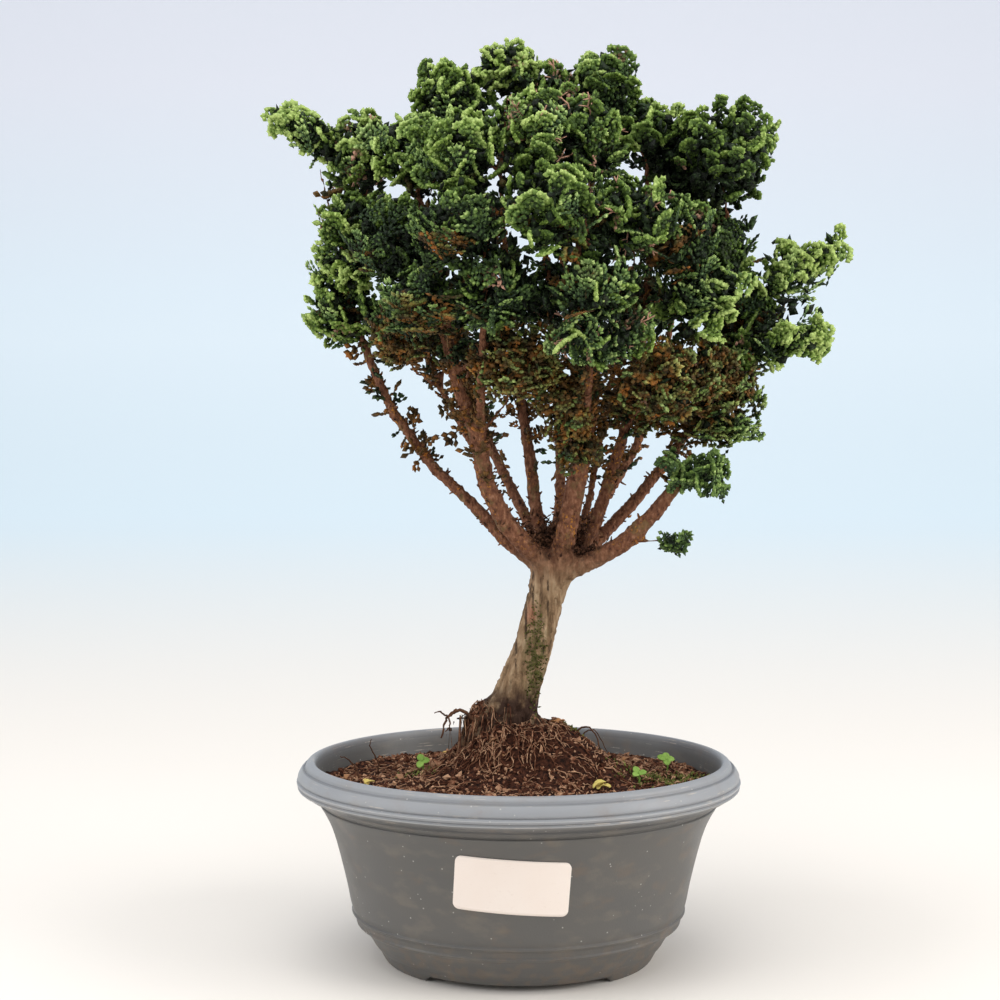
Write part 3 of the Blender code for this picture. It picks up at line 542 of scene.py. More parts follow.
def leaf_shape(length, width, curl):
    """A small oval leaf along +X, a grid bent up at its edges."""
    rows, columns = 5, 4
    points = []
    for row in range(rows + 1):
        along = row / rows
        half = width * math.sqrt(max(0.02, math.sin(math.pi * min(0.97, max(0.03, along)))))
        for column in range(columns + 1):
            across = (column / columns * 2 - 1) * half
            rise = curl * (across**2 / width + along * (1 - along) * length * 0.5)
            points.append((along * length, across, rise))
    faces = []
    for row in range(rows):
        for column in range(columns):
            corner = row * (columns + 1) + column
            faces.append((corner, corner + columns + 1, corner + columns + 2))
            faces.append((corner, corner + columns + 2, corner + 1))
    return np.array(points), np.array(faces)


def smooth_path(points, count):
    """A path through the points, as smooth as a bent root."""
    points = np.asarray(points, float)
    before = np.linspace(0, 1, len(points))
    after = np.linspace(0, 1, count)
    path = np.array([np.interp(after, before, points[:, part]) for part in range(3)]).T
    for _ in range(2):
        path[1:-1] = (path[:-2] + path[1:-1] * 2 + path[2:]) / 4
    return path


# Foliage


@dataclass
class SprayForm:
    steps: int  # lobes along the main shoot
    longest_side: int  # lobes along its longest side shoot
    depth: int  # how many times shoots branch off
    stride: float
    side_angle: float
    half_width: float
    half_height: float
    cup: float  # how far the spray bends up towards its rim


FORMS = {
    "knobby": SprayForm(4, 3, 2, 2.3, 0.84, 1.1, 0.82, 0.35),
    "tight": SprayForm(4, 2, 2, 2.0, 0.76, 1.08, 0.92, 0.5),
    "feathery": SprayForm(6, 4, 1, 2.2, 0.7, 0.74, 0.52, 0.15),
    "crumbled": SprayForm(3, 2, 1, 2.1, 0.9, 0.84, 0.6, 0.8),
}


def grow_shoot(lobes, start, heading, steps, depth, form, chooser):
    """Adds the lobes of one shoot, and of the side shoots that leave it on both sides."""
    place = start
    for step in range(steps):
        heading += chooser.uniform(-0.14, 0.14)
        stride = form.stride * chooser.uniform(0.85, 1.12)
        after = place + stride * np.array([math.cos(heading), math.sin(heading)])
        left = steps - step - 1
        lobes.append((place, after, left == 0))
        if left and depth < form.depth:
            side_steps = min(left, form.longest_side) if depth == 0 else 1
            for side in (-1, 1):
                angle = heading + side * form.side_angle * chooser.uniform(0.8, 1.2)
                grow_shoot(lobes, after, angle, side_steps, depth + 1, form, chooser)
        place = after


def make_spray(form, chooser):
    """Points, faces and how near the rim each point lies, with a painted highlight at each lobe's tip and
    painted shade at its foot, of a spray that grows along +X with +Z up.
    """
    flat_lobes = []
    grow_shoot(flat_lobes, np.zeros(2), 0, form.steps, 0, form, chooser)
    reach = form.steps * form.stride

    def lifted(place):
        rise = form.cup * (0.35 * max(0, place[0]) ** 2 + 0.7 * place[1] ** 2) / reach
        return np.array([place[0], place[1], rise])

    points = []
    faces = []
    rims = []
    for number, (start, end, is_last) in enumerate(flat_lobes):
        first = lifted(start)
        second = lifted(end) + chooser.uniform(-0.3, 0.3, 3)
        wide = form.half_width * (1.12 if is_last else 0.9) * chooser.uniform(0.88, 1.12)
        high = form.half_height * (1.12 if is_last else 0.92)
        knob = lobe(first - (second - first) * LOBE_OVERLAP, second, wide, high, np.array([0, 0, 1.0]))
        points.append(knob)
        faces.append(LOBE_FACES + number * len(knob))
        distance = np.clip(np.linalg.norm(knob, axis=1) / reach, 0, 1)
        own = 0.12 * is_last + chooser.uniform(-0.12, 0.12)
        # each lobe's painted highlight at its tip and painted shade at its foot, added to its nearness to
        # the rim
        rims.append(np.clip(0.5 * distance + 0.4 * LOBE_PAINTED_HIGHLIGHT + own, 0, 1))
    return np.concatenate(points), np.concatenate(faces), np.concatenate(rims)


def make_sprays():
    chooser = np.random.default_rng(FOLIAGE_SEED)
    return {name: [make_spray(form, chooser) for _ in range(SPRAY_KINDS)] for name, form in FORMS.items()}


def facing(axis, flat_up):
    """Columns along the spray, across it and out of its upper side."""
    across = flat_up.cross(axis).normalized()
    return np.array([axis, across, axis.cross(across)]).T


def spray_axes(lying, lead, outwards, chooser):
    """The way that a spray points, and its upper side: lying like a shingle, or standing off the clump."""
    wobble = Vector(jitter(chooser))
    if lying:
        upwards = UP - outwards * outwards.z
        axis = (upwards * 0.7 + outwards * 0.35 + lead + wobble * 0.5).normalized()
        return axis, outwards + wobble * 0.3
    axis = (outwards * 0.9 + UP * 0.45 + lead + wobble * 0.3).normalized()
    return axis, Vector(jitter(chooser)) + UP * 0.4


def crown_share(place):
    """0 in the middle of the crown and 1 at its outline; and the height in it, from -1 to 1."""
    away = (Vector(place) - placed(*CROWN_MIDDLE)) / MM
    parts = [part / size for part, size in zip(away, CROWN_HALF_SIZES)]
    return math.sqrt(sum(part * part for part in parts)), parts[2]


def add_spray(gathered, spray, root, axis, flat_up, scale, tints):
    points, faces, _ = spray
    turned = points @ facing(axis, flat_up).T * (scale * MM)
    gathered.add(np.array(root) + turned, faces, tints)


def tint_rows(rims, *columns):
    """Four numbers for each point of a spray: how bright, with painted light and shade in it, how dead,
    grey and pink it is.
    """
    return np.column_stack([np.broadcast_to(column, len(rims)) for column in columns])


class Clump:
    """The sprays that stand for one packed foliage node."""

    def __init__(self, node, sprays):
        self.node = node
        self.name = node.removeprefix("foliage_")
        self.sprays = sprays
        self.chooser = np.random.default_rng(sum(node.encode()) + FOLIAGE_SEED)
        low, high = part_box(node)
        self.centre = (low + high) / 2
        self.size = (high - low).length / MM
        self.samples, _ = sample_surface(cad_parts[node].data, CLUMP_SAMPLES, self.chooser)
        if self.name not in LEADS:
            directions = self.chooser.normal(size=(CLUMP_SAMPLES // 2, 3))
            directions /= np.linalg.norm(directions, axis=1)[:, None]
            half_sizes = np.array(high - low) / 2 * CLUMP_ROUNDNESS
            self.samples[::2] = np.array(self.centre) + directions * half_sizes
        self.lead = Vector(LEADS.get(self.name, (0, 0, 0)))
        self.samples = np.array(self.centre) + self.reshaped(self.samples - np.array(self.centre))
        self.centre += Vector(SHIFTS.get(self.name, (0, 0, 0))) * MM
        self.half_sizes = np.ptp(self.samples, axis=0) / 2
        self.feathery = self.name in FEATHERY_CLUMPS
        self.dense = self.name in DENSE_CLUMPS
        self.crumbly = self.name in CRUMBLY_CLUMPS
        self.alone = self.name in LONE_CLUMPS
        self.bright = self.name in BRIGHT_CLUMPS
        self.pink = self.name in PINK_CLUMPS
        self.tone = self.chooser.uniform(-TONE_SPREAD, TONE_SPREAD)
        if self.bright:
            self.tone += BRIGHT_TONE
        elif self.dense or self.alone:
            self.tone += DARK_TONE

    def reshaped(self, away):
        """Places from the clump's middle, swollen each way and drawn in round its lead where it's slim."""
        away = away * SWELLS.get(self.name, (1, 1, 1))
        if self.name in SLIM_SHARES:
            axis = np.array(self.lead.normalized())
            along = (away @ axis)[:, None] * axis
            away = along + (away - along) * SLIM_SHARES[self.name]
        return away + np.array(SHIFTS.get(self.name, (0, 0, 0))) * MM

    def spots(self, count, pull):
        """Points of this clump, some moved part of the way to others of it and of its neighbours."""
        others = [clump.samples for clump in self.neighbours] or [self.samples]
        pool = np.concatenate([self.samples] * len(others) + others)
        own = self.samples[self.chooser.integers(len(self.samples), size=count)]
        other = pool[self.chooser.integers(len(pool), size=count)]
        moved = self.chooser.uniform(0, pull, (count, 1)) * (self.chooser.random((count, 1)) < 0.5)
        return own + (other - own) * moved

    def places(self, count):
        """Places for sprays, mostly on the side away from the crown's middle and far from each other."""
        points = self.spots(count * 5, SPRAY_PULL)
        outwards = points - np.array(self.centre)
        outwards /= np.linalg.norm(outwards, axis=1)[:, None]
        away = points - np.array(placed(*CROWN_MIDDLE))
        away /= np.linalg.norm(away, axis=1)[:, None]
        least = 0.4 if self.lead.length else 0.12
        wanted = least + (1 - least) * np.clip((outwards * away).sum(axis=1) + 0.3, 0, 1)
        points = points[self.chooser.random(len(points)) < wanted][: count * 2]
        return points[spread_out(points, count)]

    def holds(self, place):
        """Whether a place is in the thick of this clump, or of one that grows into it."""
        return any(
            np.linalg.norm((np.array(place) - np.array(clump.centre)) / clump.half_sizes) < THICK_SHARE
            for clump in [self, *self.neighbours]
        )

    def death(self, place):
        """How far the foliage has died at a place: inside the crown, low in it, and here and there."""
        share, height = crown_share(place)
        if self.alone or self.bright:
            return 0
        inside = float(smooth_step(share, 0.98, 0.6) * smooth_step(height, 0.02, -0.4))
        patches = noise.noise((Vector(place) - POT_MIDDLE) / (16 * MM))
        patchy = float(smooth_step(patches, 0.22, 0.42) * smooth_step(height, 0.5, 0.0))
        return max(inside * 0.85, 0.8 * patchy, 0.4 if self.name in BROWN_CLUMPS else 0)

    def tints(self, tip, rims, fine):
        """The looks of each point of a spray whose tip is at a place."""
        share, height = crown_share(tip)
        # painted light and shade: sprays nearer the crown's outline and higher in it are brighter, those
        # deep inside darker
        painted_crown_light = float(smooth_step(share, 0.5, 1.0)) * (0.75 + 0.25 * height)
        vigour_and_painted_light = 0.3 + 0.5 * painted_crown_light + self.tone + self.chooser.uniform(-0.2, 0.25)
        dead = self.death(tip) * self.chooser.uniform(0.4, 1.5)
        if self.feathery:
            vigour_and_painted_light -= 0.08
            dead += 0.3 * self.chooser.random() ** 3
        grey = (0.8 if fine or self.crumbly or self.alone else 0.15) + self.chooser.uniform(-0.2, 0.2)
        if self.crumbly:
            vigour_and_painted_light += 0.12
            dead = min(0.6, dead) + self.chooser.uniform(0.14, 0.5)
        pink = self.chooser.random() < PINK_SHARES[self.pink]
        return tint_rows(
            rims,
            np.clip((0.08 + 0.92 * rims) * (0.27 + 0.98 * vigour_and_painted_light), 0, 1),
            np.clip(dead * (1.1 - 0.4 * rims), 0, 1),
            np.clip(grey * (1.15 - rims), 0, 1),
            pink * (rims < 0.4),
        )

    def build(self):
        gathered = Gathered()
        density = DENSE_SPRAY_DENSITY if self.dense else SPRAY_DENSITY
        if self.crumbly:
            density = CRUMBLY_SPRAY_DENSITY
        if not self.alone:
            self.add_thicket(gathered)
        for tip in self.places(round(self.size * density)):
            self.add_spray(gathered, tip)
        if self.pink:
            for tip in self.places(DEAD_TWIG_COUNT):
                self.add_dead_twig(gathered, tip)
        return gathered.as_object("sprays_" + self.name)

    def add_thicket(self, gathered):
        """Larger lobes inside the clump, painted dark as shade, which its sprays stand out of."""
        centre = np.array(self.centre)
        density = THICKET_DENSITY * (DENSE_THICKET_SHARE if self.dense else 1)
        for spot in self.spots(round(self.size * density), THICKET_PULL):
            middle = measured(centre + (spot - centre) * THICKET_DEPTH)
            half = unit(jitter(self.chooser)) * self.chooser.uniform(*THICKET_HALF_LENGTHS)
            wide = self.chooser.uniform(*THICKET_WIDTHS)
            knob = lobe(middle - half, middle + half, wide, THICKET_HEIGHT, jitter(self.chooser))
            # painted shade: a low brightness for each lobe inside the clump
            shade = self.chooser.uniform(0.06, 0.26)
            dead = min(1, self.death(spot) * self.chooser.uniform(0.6, 1.6))
            gathered.put(knob, LOBE_FACES, shade, dead, 0.5, 0)

    def add_spray(self, gathered, tip):
        """One spray with its tip at a place, and its root in the foliage."""
        outwards = (Vector(tip) - self.centre).normalized()
        feathery_share, dense_share, other_share = LYING_SHARES
        lying_share = feathery_share if self.feathery else dense_share if self.dense else other_share
        lying = self.chooser.random() < lying_share and outwards.z < TOP_OF_CLUMP
        axis, flat_up = spray_axes(lying, self.lead, outwards, self.chooser)
        fine = lying and (self.feathery or self.chooser.random() < FINE_SHARE)
        kind = "feathery" if fine else "tight" if self.dense else "knobby"
        if self.name in CRUMBLED_SPRAY_CLUMPS:
            kind = "crumbled"
        spray = self.sprays[kind][self.chooser.integers(SPRAY_KINDS)]
        scale = self.chooser.uniform(*SPRAY_SCALES)
        reach = spray[0][:, 0].max() * scale - SPRAY_PROUD
        tints = self.tints(tip, spray[2], fine)
        for _ in range(BENDS):
            root = Vector(tip) - axis * (reach * MM)
            if self.alone or self.holds(root):
                add_spray(gathered, spray, root, axis, flat_up, scale, tints)
                return
            axis = (axis + outwards * BEND).normalized()

    def add_dead_twig(self, gathered, tip):
        """A pale twig from inside the clump to a little way out of it, with short side twigs."""
        outwards = np.array((Vector(tip) - self.centre).normalized())
        along = np.linspace(DEAD_TWIG_DEPTH, self.chooser.uniform(*DEAD_TWIG_PROUD), 6)[:, None]
        path = measured(tip) + outwards * along + self.chooser.normal(size=(6, 3)) * 0.4
        main_radius, side_radius = DEAD_TWIG_RADII
        twigs = [(path, main_radius)]
        for number in (2, 3, 4, 4):
            way = outwards + jitter(self.chooser)
            way *= self.chooser.uniform(2, 4) / np.linalg.norm(way)
            fork = path[number]
            twigs.append((np.array([fork, fork + way * 0.5, fork + way]), side_radius))
        for points, radius in twigs:
            shape, faces = strand(points, np.linspace(radius, radius * 0.6, len(points)))
            gathered.put(shape, faces, 0.8)


def build_foliage(sprays, material):
    clumps = [Clump(node, sprays) for node in sorted(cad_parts) if node.startswith("foliage_")]
    for clump in clumps:
        clump.neighbours = [
            other for other in clumps
            if other is not clump and not (clump.alone or other.alone)
            and (other.centre - clump.centre).length < NEIGHBOUR_REACH * MM
        ]
    for clump in clumps:
        dress(clump.build(), material, [clump.node])


def build_inner_sprays(wood, sprays, material):
    """Old sprays that still sit along the limbs: brown ones below, and dark green ones higher up, all of
    them dimmed as painted shade inside the crown.
    """
    chooser, gathered = begun(INNER_SPRAY_SEED)
    made = 0
    for point, normal in zip(*sample_surface(wood.data, INNER_SPRAY_COUNT * 9, chooser)):
        share, height = crown_share(point)
        wanted = smooth_step(height, *INNER_SPRAY_HEIGHTS) * smooth_step(share, 1.15, 0.85)
        if chooser.random() > wanted or made == INNER_SPRAY_COUNT:
            continue
        axis = Vector(normal * 0.8 + np.array([0, 0, 0.25]) + jitter(chooser, 0.5)).normalized()
        flat_up = Vector(jitter(chooser)) + UP
        spray = sprays["crumbled"][chooser.integers(SPRAY_KINDS)]
        rims = spray[2]
        green_share = float(smooth_step(height, -0.55, 0.15)) * 0.75 + 0.2
        # painted shade: inner sprays get only a small share of the brightness
        bright = rims * chooser.uniform(0.25, 0.55)
        dead = chooser.uniform(0, 0.6) if chooser.random() < green_share else chooser.uniform(0.7, 1)
        root = Vector(point) - Vector(normal) * 0.5 * MM
        largest = 1.5 + 0.9 * float(smooth_step(height, -0.4, 0.2))
        scale = chooser.uniform(0.8, largest)
        add_spray(gathered, spray, root, axis, flat_up, scale, tint_rows(rims, bright, dead, 0.5, 0))
        made += 1
    return dress(gathered.as_object("inner_sprays"), material)


# Wood


def bark_relief(place, _normal):
    """How far the bark stands out: furrows along the trunk, and rough skin on the limbs."""
    grain = noise.noise(Vector((place.x * 0.24, place.y * 0.24, place.z * 0.045)))
    furrow = -FURROW_DEPTH * max(0, FURROW_SHARE - abs(grain)) / FURROW_SHARE
    rough = 0.28 * noise.noise(place * 0.55) + 0.3 * noise.noise(place * 1.25)
    trunk_share = float(smooth_step(place.z, TRUNK_TOP + 8, TRUNK_TOP - 12))
    lumpy = 0.8 * noise.noise(place * 0.3) * float(smooth_step(place.z, MOUND_TOP + 4, MOUND_TOP - 10))
    return furrow * trunk_share + rough * (1.7 - 0.7 * trunk_share) + lumpy


def build_wood(material):
    wood = even_copy("trunk_and_branches", "bark", WOOD_GROWTH, WOOD_VOXEL, WOOD_SMOOTHING)
    move_points(wood, bark_relief)
    return dress(wood, material, ["trunk_and_branches"])


def build_stubs(wood, material):
    """Short stubs of old side twigs all along the limbs."""
    chooser, gathered = begun(STUB_SEED)
    made = 0
    for point, normal in zip(*sample_surface(wood.data, STUB_COUNT * 3, chooser)):
        place = measured(point)
        if place[2] < TRUNK_TOP + 6 or made == STUB_COUNT:
            continue
        way = unit(normal * 0.8 + np.array([0, 0, 0.5]) + jitter(chooser, 0.25))
        length = chooser.uniform(*STUB_LENGTHS)
        bend = jitter(chooser, 0.25)
        path = [place - normal * 0.4, place + way * length * 0.5, place + way * length + bend]
        width = chooser.uniform(*STUB_RADII)
        shape, faces = strand(path, (width, width * 0.8, width * 0.4))
        gathered.put(shape, faces, chooser.random())
        made += 1
    return dress(gathered.as_object("twig_stubs"), material)


def build_litter(tree, material):
    """Dry scales and bark scraps caught where the limbs part."""
    chooser, gathered = begun(LITTER_SEED)
    for _ in range(LITTER_COUNT):
        x = CROTCH[0] + chooser.normal() * CROTCH_REACH[0] * 0.45
        y = CROTCH[1] + chooser.normal() * CROTCH_REACH[1] * 0.45
        place = dropped(tree, x, y, CROTCH[2] + 10)
        if place is None or place.z < TRUNK_TOP - 6:
            continue
        nearness = math.exp(-((x - CROTCH[0]) ** 2 + (y - CROTCH[1]) ** 2) / (2 * LITTER_PILE_REACH**2))
        start = np.array(place) + (0, 0, chooser.uniform(-0.6, LITTER_PILE_HEIGHT * nearness))
        way = unit(jitter(chooser) + np.array([0, 0, 0.9]))
        end = start + way * chooser.uniform(*LITTER_LENGTHS)
        wide = chooser.uniform(0.4, 0.9)
        high = chooser.uniform(0.3, 0.7)
        knob = lobe(start, end, wide, high, np.array([0.2, 0.1, 1]))
        gathered.put(knob, LOBE_FACES, chooser.random() * 0.4)
    return dress(gathered.as_object("crotch_litter"), material)


def build_trunk_moss(wood, material):
    """Small cushions of moss along the front of the trunk."""
    chooser, gathered = begun(TRUNK_MOSS_SEED)
    points, normals = sample_surface(wood.data, TRUNK_MOSS_TRIES, chooser)
    middle, sizes = TRUNK_MOSS
    away = (measured(points) - middle) / sizes
    inside = np.nonzero((away**2).sum(axis=1) < chooser.random(len(points)) * 1.1)[0][:TRUNK_MOSS_COUNT]
    for index in inside:
        start = measured(points[index]) - normals[index] * 0.3
        way = normals[index] + jitter(chooser, 0.5)
        end = start + way * chooser.uniform(*TRUNK_MOSS_LENGTHS)
        knob = lobe(start, end, 0.42, 0.36, np.array([0.3, 0.1, 1]))
        gathered.put(knob, LOBE_FACES, chooser.random())
    return dress(gathered.as_object("trunk_moss"), material)


# Peat and what lies on it


def peat_relief(place, normal):
    """How far the peat's upper side stands out."""
    if normal[2] < 0.25:
        return 0
    coarse = noise.noise(place * 0.22) + 0.7 * noise.noise(place * 0.5) + 0.5 * noise.noise(place * 1.1)
    return SOIL_ROUGHNESS * coarse


def build_peat(material):
    peat = even_copy("soil", "peat", 0, SOIL_VOXEL, 1)
    move_points(peat, peat_relief)
    return dress(peat, material, ["soil"])


def soil_spot(chooser):
    """A random place over the soil, from the middle of the pot."""
    angle = chooser.uniform(0, 2 * math.pi)
    away = math.sqrt(chooser.random()) * SOIL_REACH
    return SOIL_HALF_WIDTH * away * math.cos(angle), SOIL_HALF_WIDTH * POT_OVAL * away * math.sin(angle)


def build_crumbs(tree, material):
    chooser, gathered = begun(CRUMB_SEED)
    for _ in range(CRUMB_COUNT):
        place = dropped(tree, *soil_spot(chooser))
        if place is None or place.z > MOUND_TOP:
            continue
        size = chooser.choice(CRUMB_SIZES, p=CRUMB_SIZE_SHARES) * chooser.uniform(0.8, 1.2)
        sizes = np.array([size * chooser.uniform(1, 1.7), size, size * 0.7])
        shape = crumb(np.array(place) + (0, 0, size * 0.3), sizes, chooser)
        gathered.put(shape, CRUMB_FACES, 0.95 * chooser.random() ** 1.25)
    obj = gathered.as_object("peat_crumbs")
    obj.data.shade_flat()
    return dress(obj, material)


def wandering_path(tree, place, heading, count, stride, chooser, lift, waver=0.5):
    """A path that wanders over the surface, or as far as there is one."""
    x, y = place
    path = []
    for _ in range(count):
        found = dropped(tree, x, y)
        if found is None or found.z > MOUND_TOP:
            break
        path.append(np.array(found) + (0, 0, lift + chooser.uniform(-0.3, 0.7)))
        heading += chooser.normal() * waver
        x += stride * math.cos(heading)
        y += stride * math.sin(heading)
    return path


def add_fibre(gathered, path, radius, tone):
    if len(path) < 3:
        return
    shape, faces = strand(path, np.linspace(radius, radius * 0.5, len(path)))
    gathered.put(shape, faces, tone)


def build_fibres(tree, material):
    """Loose fibres all over the peat, and strands of root that run down from the trunk."""
    chooser, gathered = begun(FIBRE_SEED)
    for _ in range(FIBRE_COUNT):
        path = wandering_path(
            tree, soil_spot(chooser), chooser.uniform(*HEADINGS), chooser.integers(4, 8),
            chooser.uniform(0.9, 1.6), chooser, 0.5,
        )
        add_fibre(gathered, path, chooser.uniform(*FIBRE_RADII), chooser.uniform(0.25, 1))
    for _ in range(STRAND_COUNT):
        angle = chooser.uniform(0, 2 * math.pi)
        away = chooser.uniform(*STRAND_REACH)
        start = (STRAND_MIDDLE[0] + away * math.cos(angle), STRAND_MIDDLE[1] + away * math.sin(angle) * 0.9)
        heading = angle + chooser.normal() * 0.5
        path = wandering_path(tree, start, heading, chooser.integers(5, 10), 1.2, chooser, 0.6, 0.4)
        add_fibre(gathered, path, chooser.uniform(*STRAND_RADII), 0.9 * chooser.random() ** 1.2)
    return dress(gathered.as_object("peat_fibres"), material)


def build_loose_roots(material):
    """Roots that stand clear of the peat, with an end or both ends in what carries them."""
    chooser, gathered = begun(LOOSE_ROOT_SEED)
    for points, radius in LOOSE_ROOTS:
        path = smooth_path(points, LOOSE_ROOT_STEPS)
        path[1:-1] += chooser.normal(size=(LOOSE_ROOT_STEPS - 2, 3)) * 0.22
        shape, faces = strand(path, np.linspace(radius, radius * 0.45, LOOSE_ROOT_STEPS), 5)
        gathered.put(shape, faces, 0.25)
    return dress(gathered.as_object("loose_roots"), material)


def build_leaf_bits(tree, material):
    """Dry fallen leaves and a piece of straw on the peat."""
    chooser, gathered = begun(LEAF_BIT_SEED)
    for (x, y), length, turn, tone in LEAF_BITS:
        place = dropped(tree, x, y)
        points, faces = leaf_shape(length, length * 0.3, 0.6)
        points += chooser.uniform(-0.2, 0.2, points.shape)
        tilt = Matrix.Rotation(chooser.uniform(-0.5, 0), 3, "Y")
        turned = points @ np.array(Matrix.Rotation(math.radians(turn), 3, "Z") @ tilt).T
        gathered.put(np.array(place) + (0, 0, 0.9) + turned, faces, tone)
    shape, faces = strand(smooth_path(STRAW, 6), [STRAW_RADIUS] * 6, 6)
    gathered.put(shape, faces, 0.6)
    return dress(thickened(gathered.as_object("leaf_bits"), LEAF_BIT_THICKNESS), material)


def build_soil_moss(tree, material):
    """Patches of short moss on the peat."""
    chooser, gathered = begun(MOSS_SEED)
    for (middle_x, middle_y), spread, count in MOSS_PATCHES:
        for _ in range(count):
            x = middle_x + chooser.normal() * spread * 0.6
            y = middle_y + chooser.normal() * spread * 0.5
            place = dropped(tree, x, y, LOW_DROP_HEIGHT)
            if place is None or place.z > MOUND_TOP - 8:
                continue
            start = np.array(place) - (0, 0, 0.3)
            end = start + jitter(chooser) * (0.8, 0.8, 0.3) + (0, 0, chooser.uniform(0.9, 1.9))
            knob = lobe(start, end, chooser.uniform(0.4, 0.75), 0.5, np.array([1, 0, 0.1]))
            gathered.put(knob, LOBE_FACES, chooser.random())
    return dress(gathered.as_object("soil_moss"), material)


def build_seedling(node, tree, leaf_count, leaf_length, material):
    """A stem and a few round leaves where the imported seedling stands."""
    chooser, gathered = begun(sum(node.encode()))
    low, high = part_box(node)
    middle = (low + high) / 2
    top = (Vector((middle.x, middle.y, high.z)) - POT_MIDDLE) / MM
    foot = np.array(dropped(tree, top.x, top.y, LOW_DROP_HEIGHT) or top - UP * 6)
    head = np.array(top) - (0, 0, SEEDLING_HEAD_DROP)
    lean = Matrix.Rotation(chooser.uniform(0.5, 0.8), 3, "X")
    bend = (foot + head) / 2 + (0.6, -0.3, 0)
    shape, faces = strand([foot - (0, 0, 1), bend, head], SEEDLING_STEM_RADII, 5)
    gathered.put(shape, faces, 0.3)
    for number in range(leaf_count):
        turn = Matrix.Rotation(2 * math.pi * number / leaf_count + chooser.uniform(-0.3, 0.3), 3, "Z")
        tip = Matrix.Rotation(chooser.uniform(-0.4, 0.1), 3, "Y")
        points, faces = leaf_shape(leaf_length * chooser.uniform(0.8, 1.15), leaf_length * 0.44, 0.25)
        gathered.put(head + points @ np.array(lean @ turn @ tip).T, faces, chooser.uniform(0.5, 1))
    leaves = thickened(gathered.as_object(node + "_leaves"), SEEDLING_LEAF_THICKNESS)
    return dress(leaves, material, [node])


# Pot and label


def rounded(profile, times):
    """The same line with each corner cut, so that it comes out round."""
    points = [np.array(point, float) for point in profile]
    for _ in range(times):
        cut = [points[0]]
        for first, second in zip(points, points[1:]):
            cut += [first * 0.75 + second * 0.25, first * 0.25 + second * 0.75]
        points = cut + [points[-1]]
    return points


def foot_height(x, half_width, height):
    """The foot's underside is raised between its two long bearing parts."""
    if height > FOOT_NOTCH_HEIGHT or half_width < FOOT_INNER_HALF_WIDTH:
        return height
    share = float(smooth_step(abs(x), FOOT_NOTCH_HALF_WIDTH, FOOT_NOTCH_HALF_WIDTH - FOOT_NOTCH_SLOPE))
    return height + (FOOT_NOTCH_HEIGHT - height) * share


def build_pot(material):
    """A finely turned shell of the same profile, with its foot cut away in the middle of each side."""
    sharp = POT_INSIDE + POT_LIP + POT_BEAD + POT_WALL + POT_RINGS + POT_FOOT
    profile = rounded(sharp, POT_ROUNDING)
    points = []
    for half_width, height in profile[1:-1]:
        for step in range(POT_STEPS):
            angle = 2 * math.pi * step / POT_STEPS
            x = half_width * math.cos(angle)
            y = half_width * math.sin(angle) * POT_OVAL
            points.append(placed(x, y, foot_height(x, half_width, height)))
    rows = len(profile) - 2
    points += [placed(0, 0, profile[0][1]), placed(0, 0, profile[-1][1])]
    top, bottom = len(points) - 2, len(points) - 1
    faces = []
    for step in range(POT_STEPS):
        after = (step + 1) % POT_STEPS
        faces.append((step, after, top))
        last = (rows - 1) * POT_STEPS
        faces.append((last + after, last + step, bottom))
        for row in range(rows - 1):
            low = row * POT_STEPS
            high = low + POT_STEPS
            faces.append((low + after, low + step, high + step))
            faces.append((low + after, high + step, high + after))
    shell = mesh_object("pot_shell", points, faces)
    drill(shell)
    return dress(shell, material, ["pot"])


def drill(shell):
    """Cuts the drain holes."""
    shape = bmesh.new()
    for x, y in DRAIN_HOLE_PLACES:
        bmesh.ops.create_cone(
            shape, cap_ends=True, segments=32, depth=DRILL_LENGTH * MM, radius1=DRAIN_HOLE_RADIUS * MM,
            radius2=DRAIN_HOLE_RADIUS * MM, matrix=Matrix.Translation(placed(x, y, DRILL_MIDDLE)),
        )
    bit = object_of(shape, "drill")
    cut = shell.modifiers.new("drain holes", "BOOLEAN")
    cut.object = bit
    apply_modifiers(shell)
    shell.data.shade_smooth()
    bpy.data.objects.remove(bit)


def build_label(material):
    """A paper sticker bent round the wall, with rounded corners."""
    half_width = LABEL_WIDTH / 2
    half_height = LABEL_HEIGHT / 2
    wall_widths, wall_heights = zip(*reversed(rounded(POT_WALL + POT_RINGS, POT_ROUNDING)))
    shape = bmesh.new()
    bmesh.ops.create_grid(shape, x_segments=56, y_segments=20, size=1)
    for vert in shape.verts:
        along = math.sin(vert.co.x * math.pi / 2) * half_width
        past = max(0, abs(along) - (half_width - LABEL_CORNER))
        tall = half_height - LABEL_CORNER + math.sqrt(max(0, LABEL_CORNER**2 - past**2))
        up = vert.co.y * tall
        x = LABEL_CENTRE[0] + along * math.cos(LABEL_TURN) - up * math.sin(LABEL_TURN)
        z = LABEL_CENTRE[1] + along * math.sin(LABEL_TURN) + up * math.cos(LABEL_TURN)
        wall = float(np.interp(z, wall_heights, wall_widths)) + LABEL_GAP
        angle = x / wall
        vert.co = placed(wall * math.sin(angle), -wall * POT_OVAL * math.cos(angle), z)
    bmesh.ops.recalc_face_normals(shape, faces=shape.faces)
    if sum(face.normal.y for face in shape.faces) > 0:
        bmesh.ops.reverse_faces(shape, faces=shape.faces)
    label = thickened(object_of(shape, "sticker"), LABEL_THICKNESS, 1)
    label.data.shade_smooth()
    return dress(label, material, ["label"])


# Materials


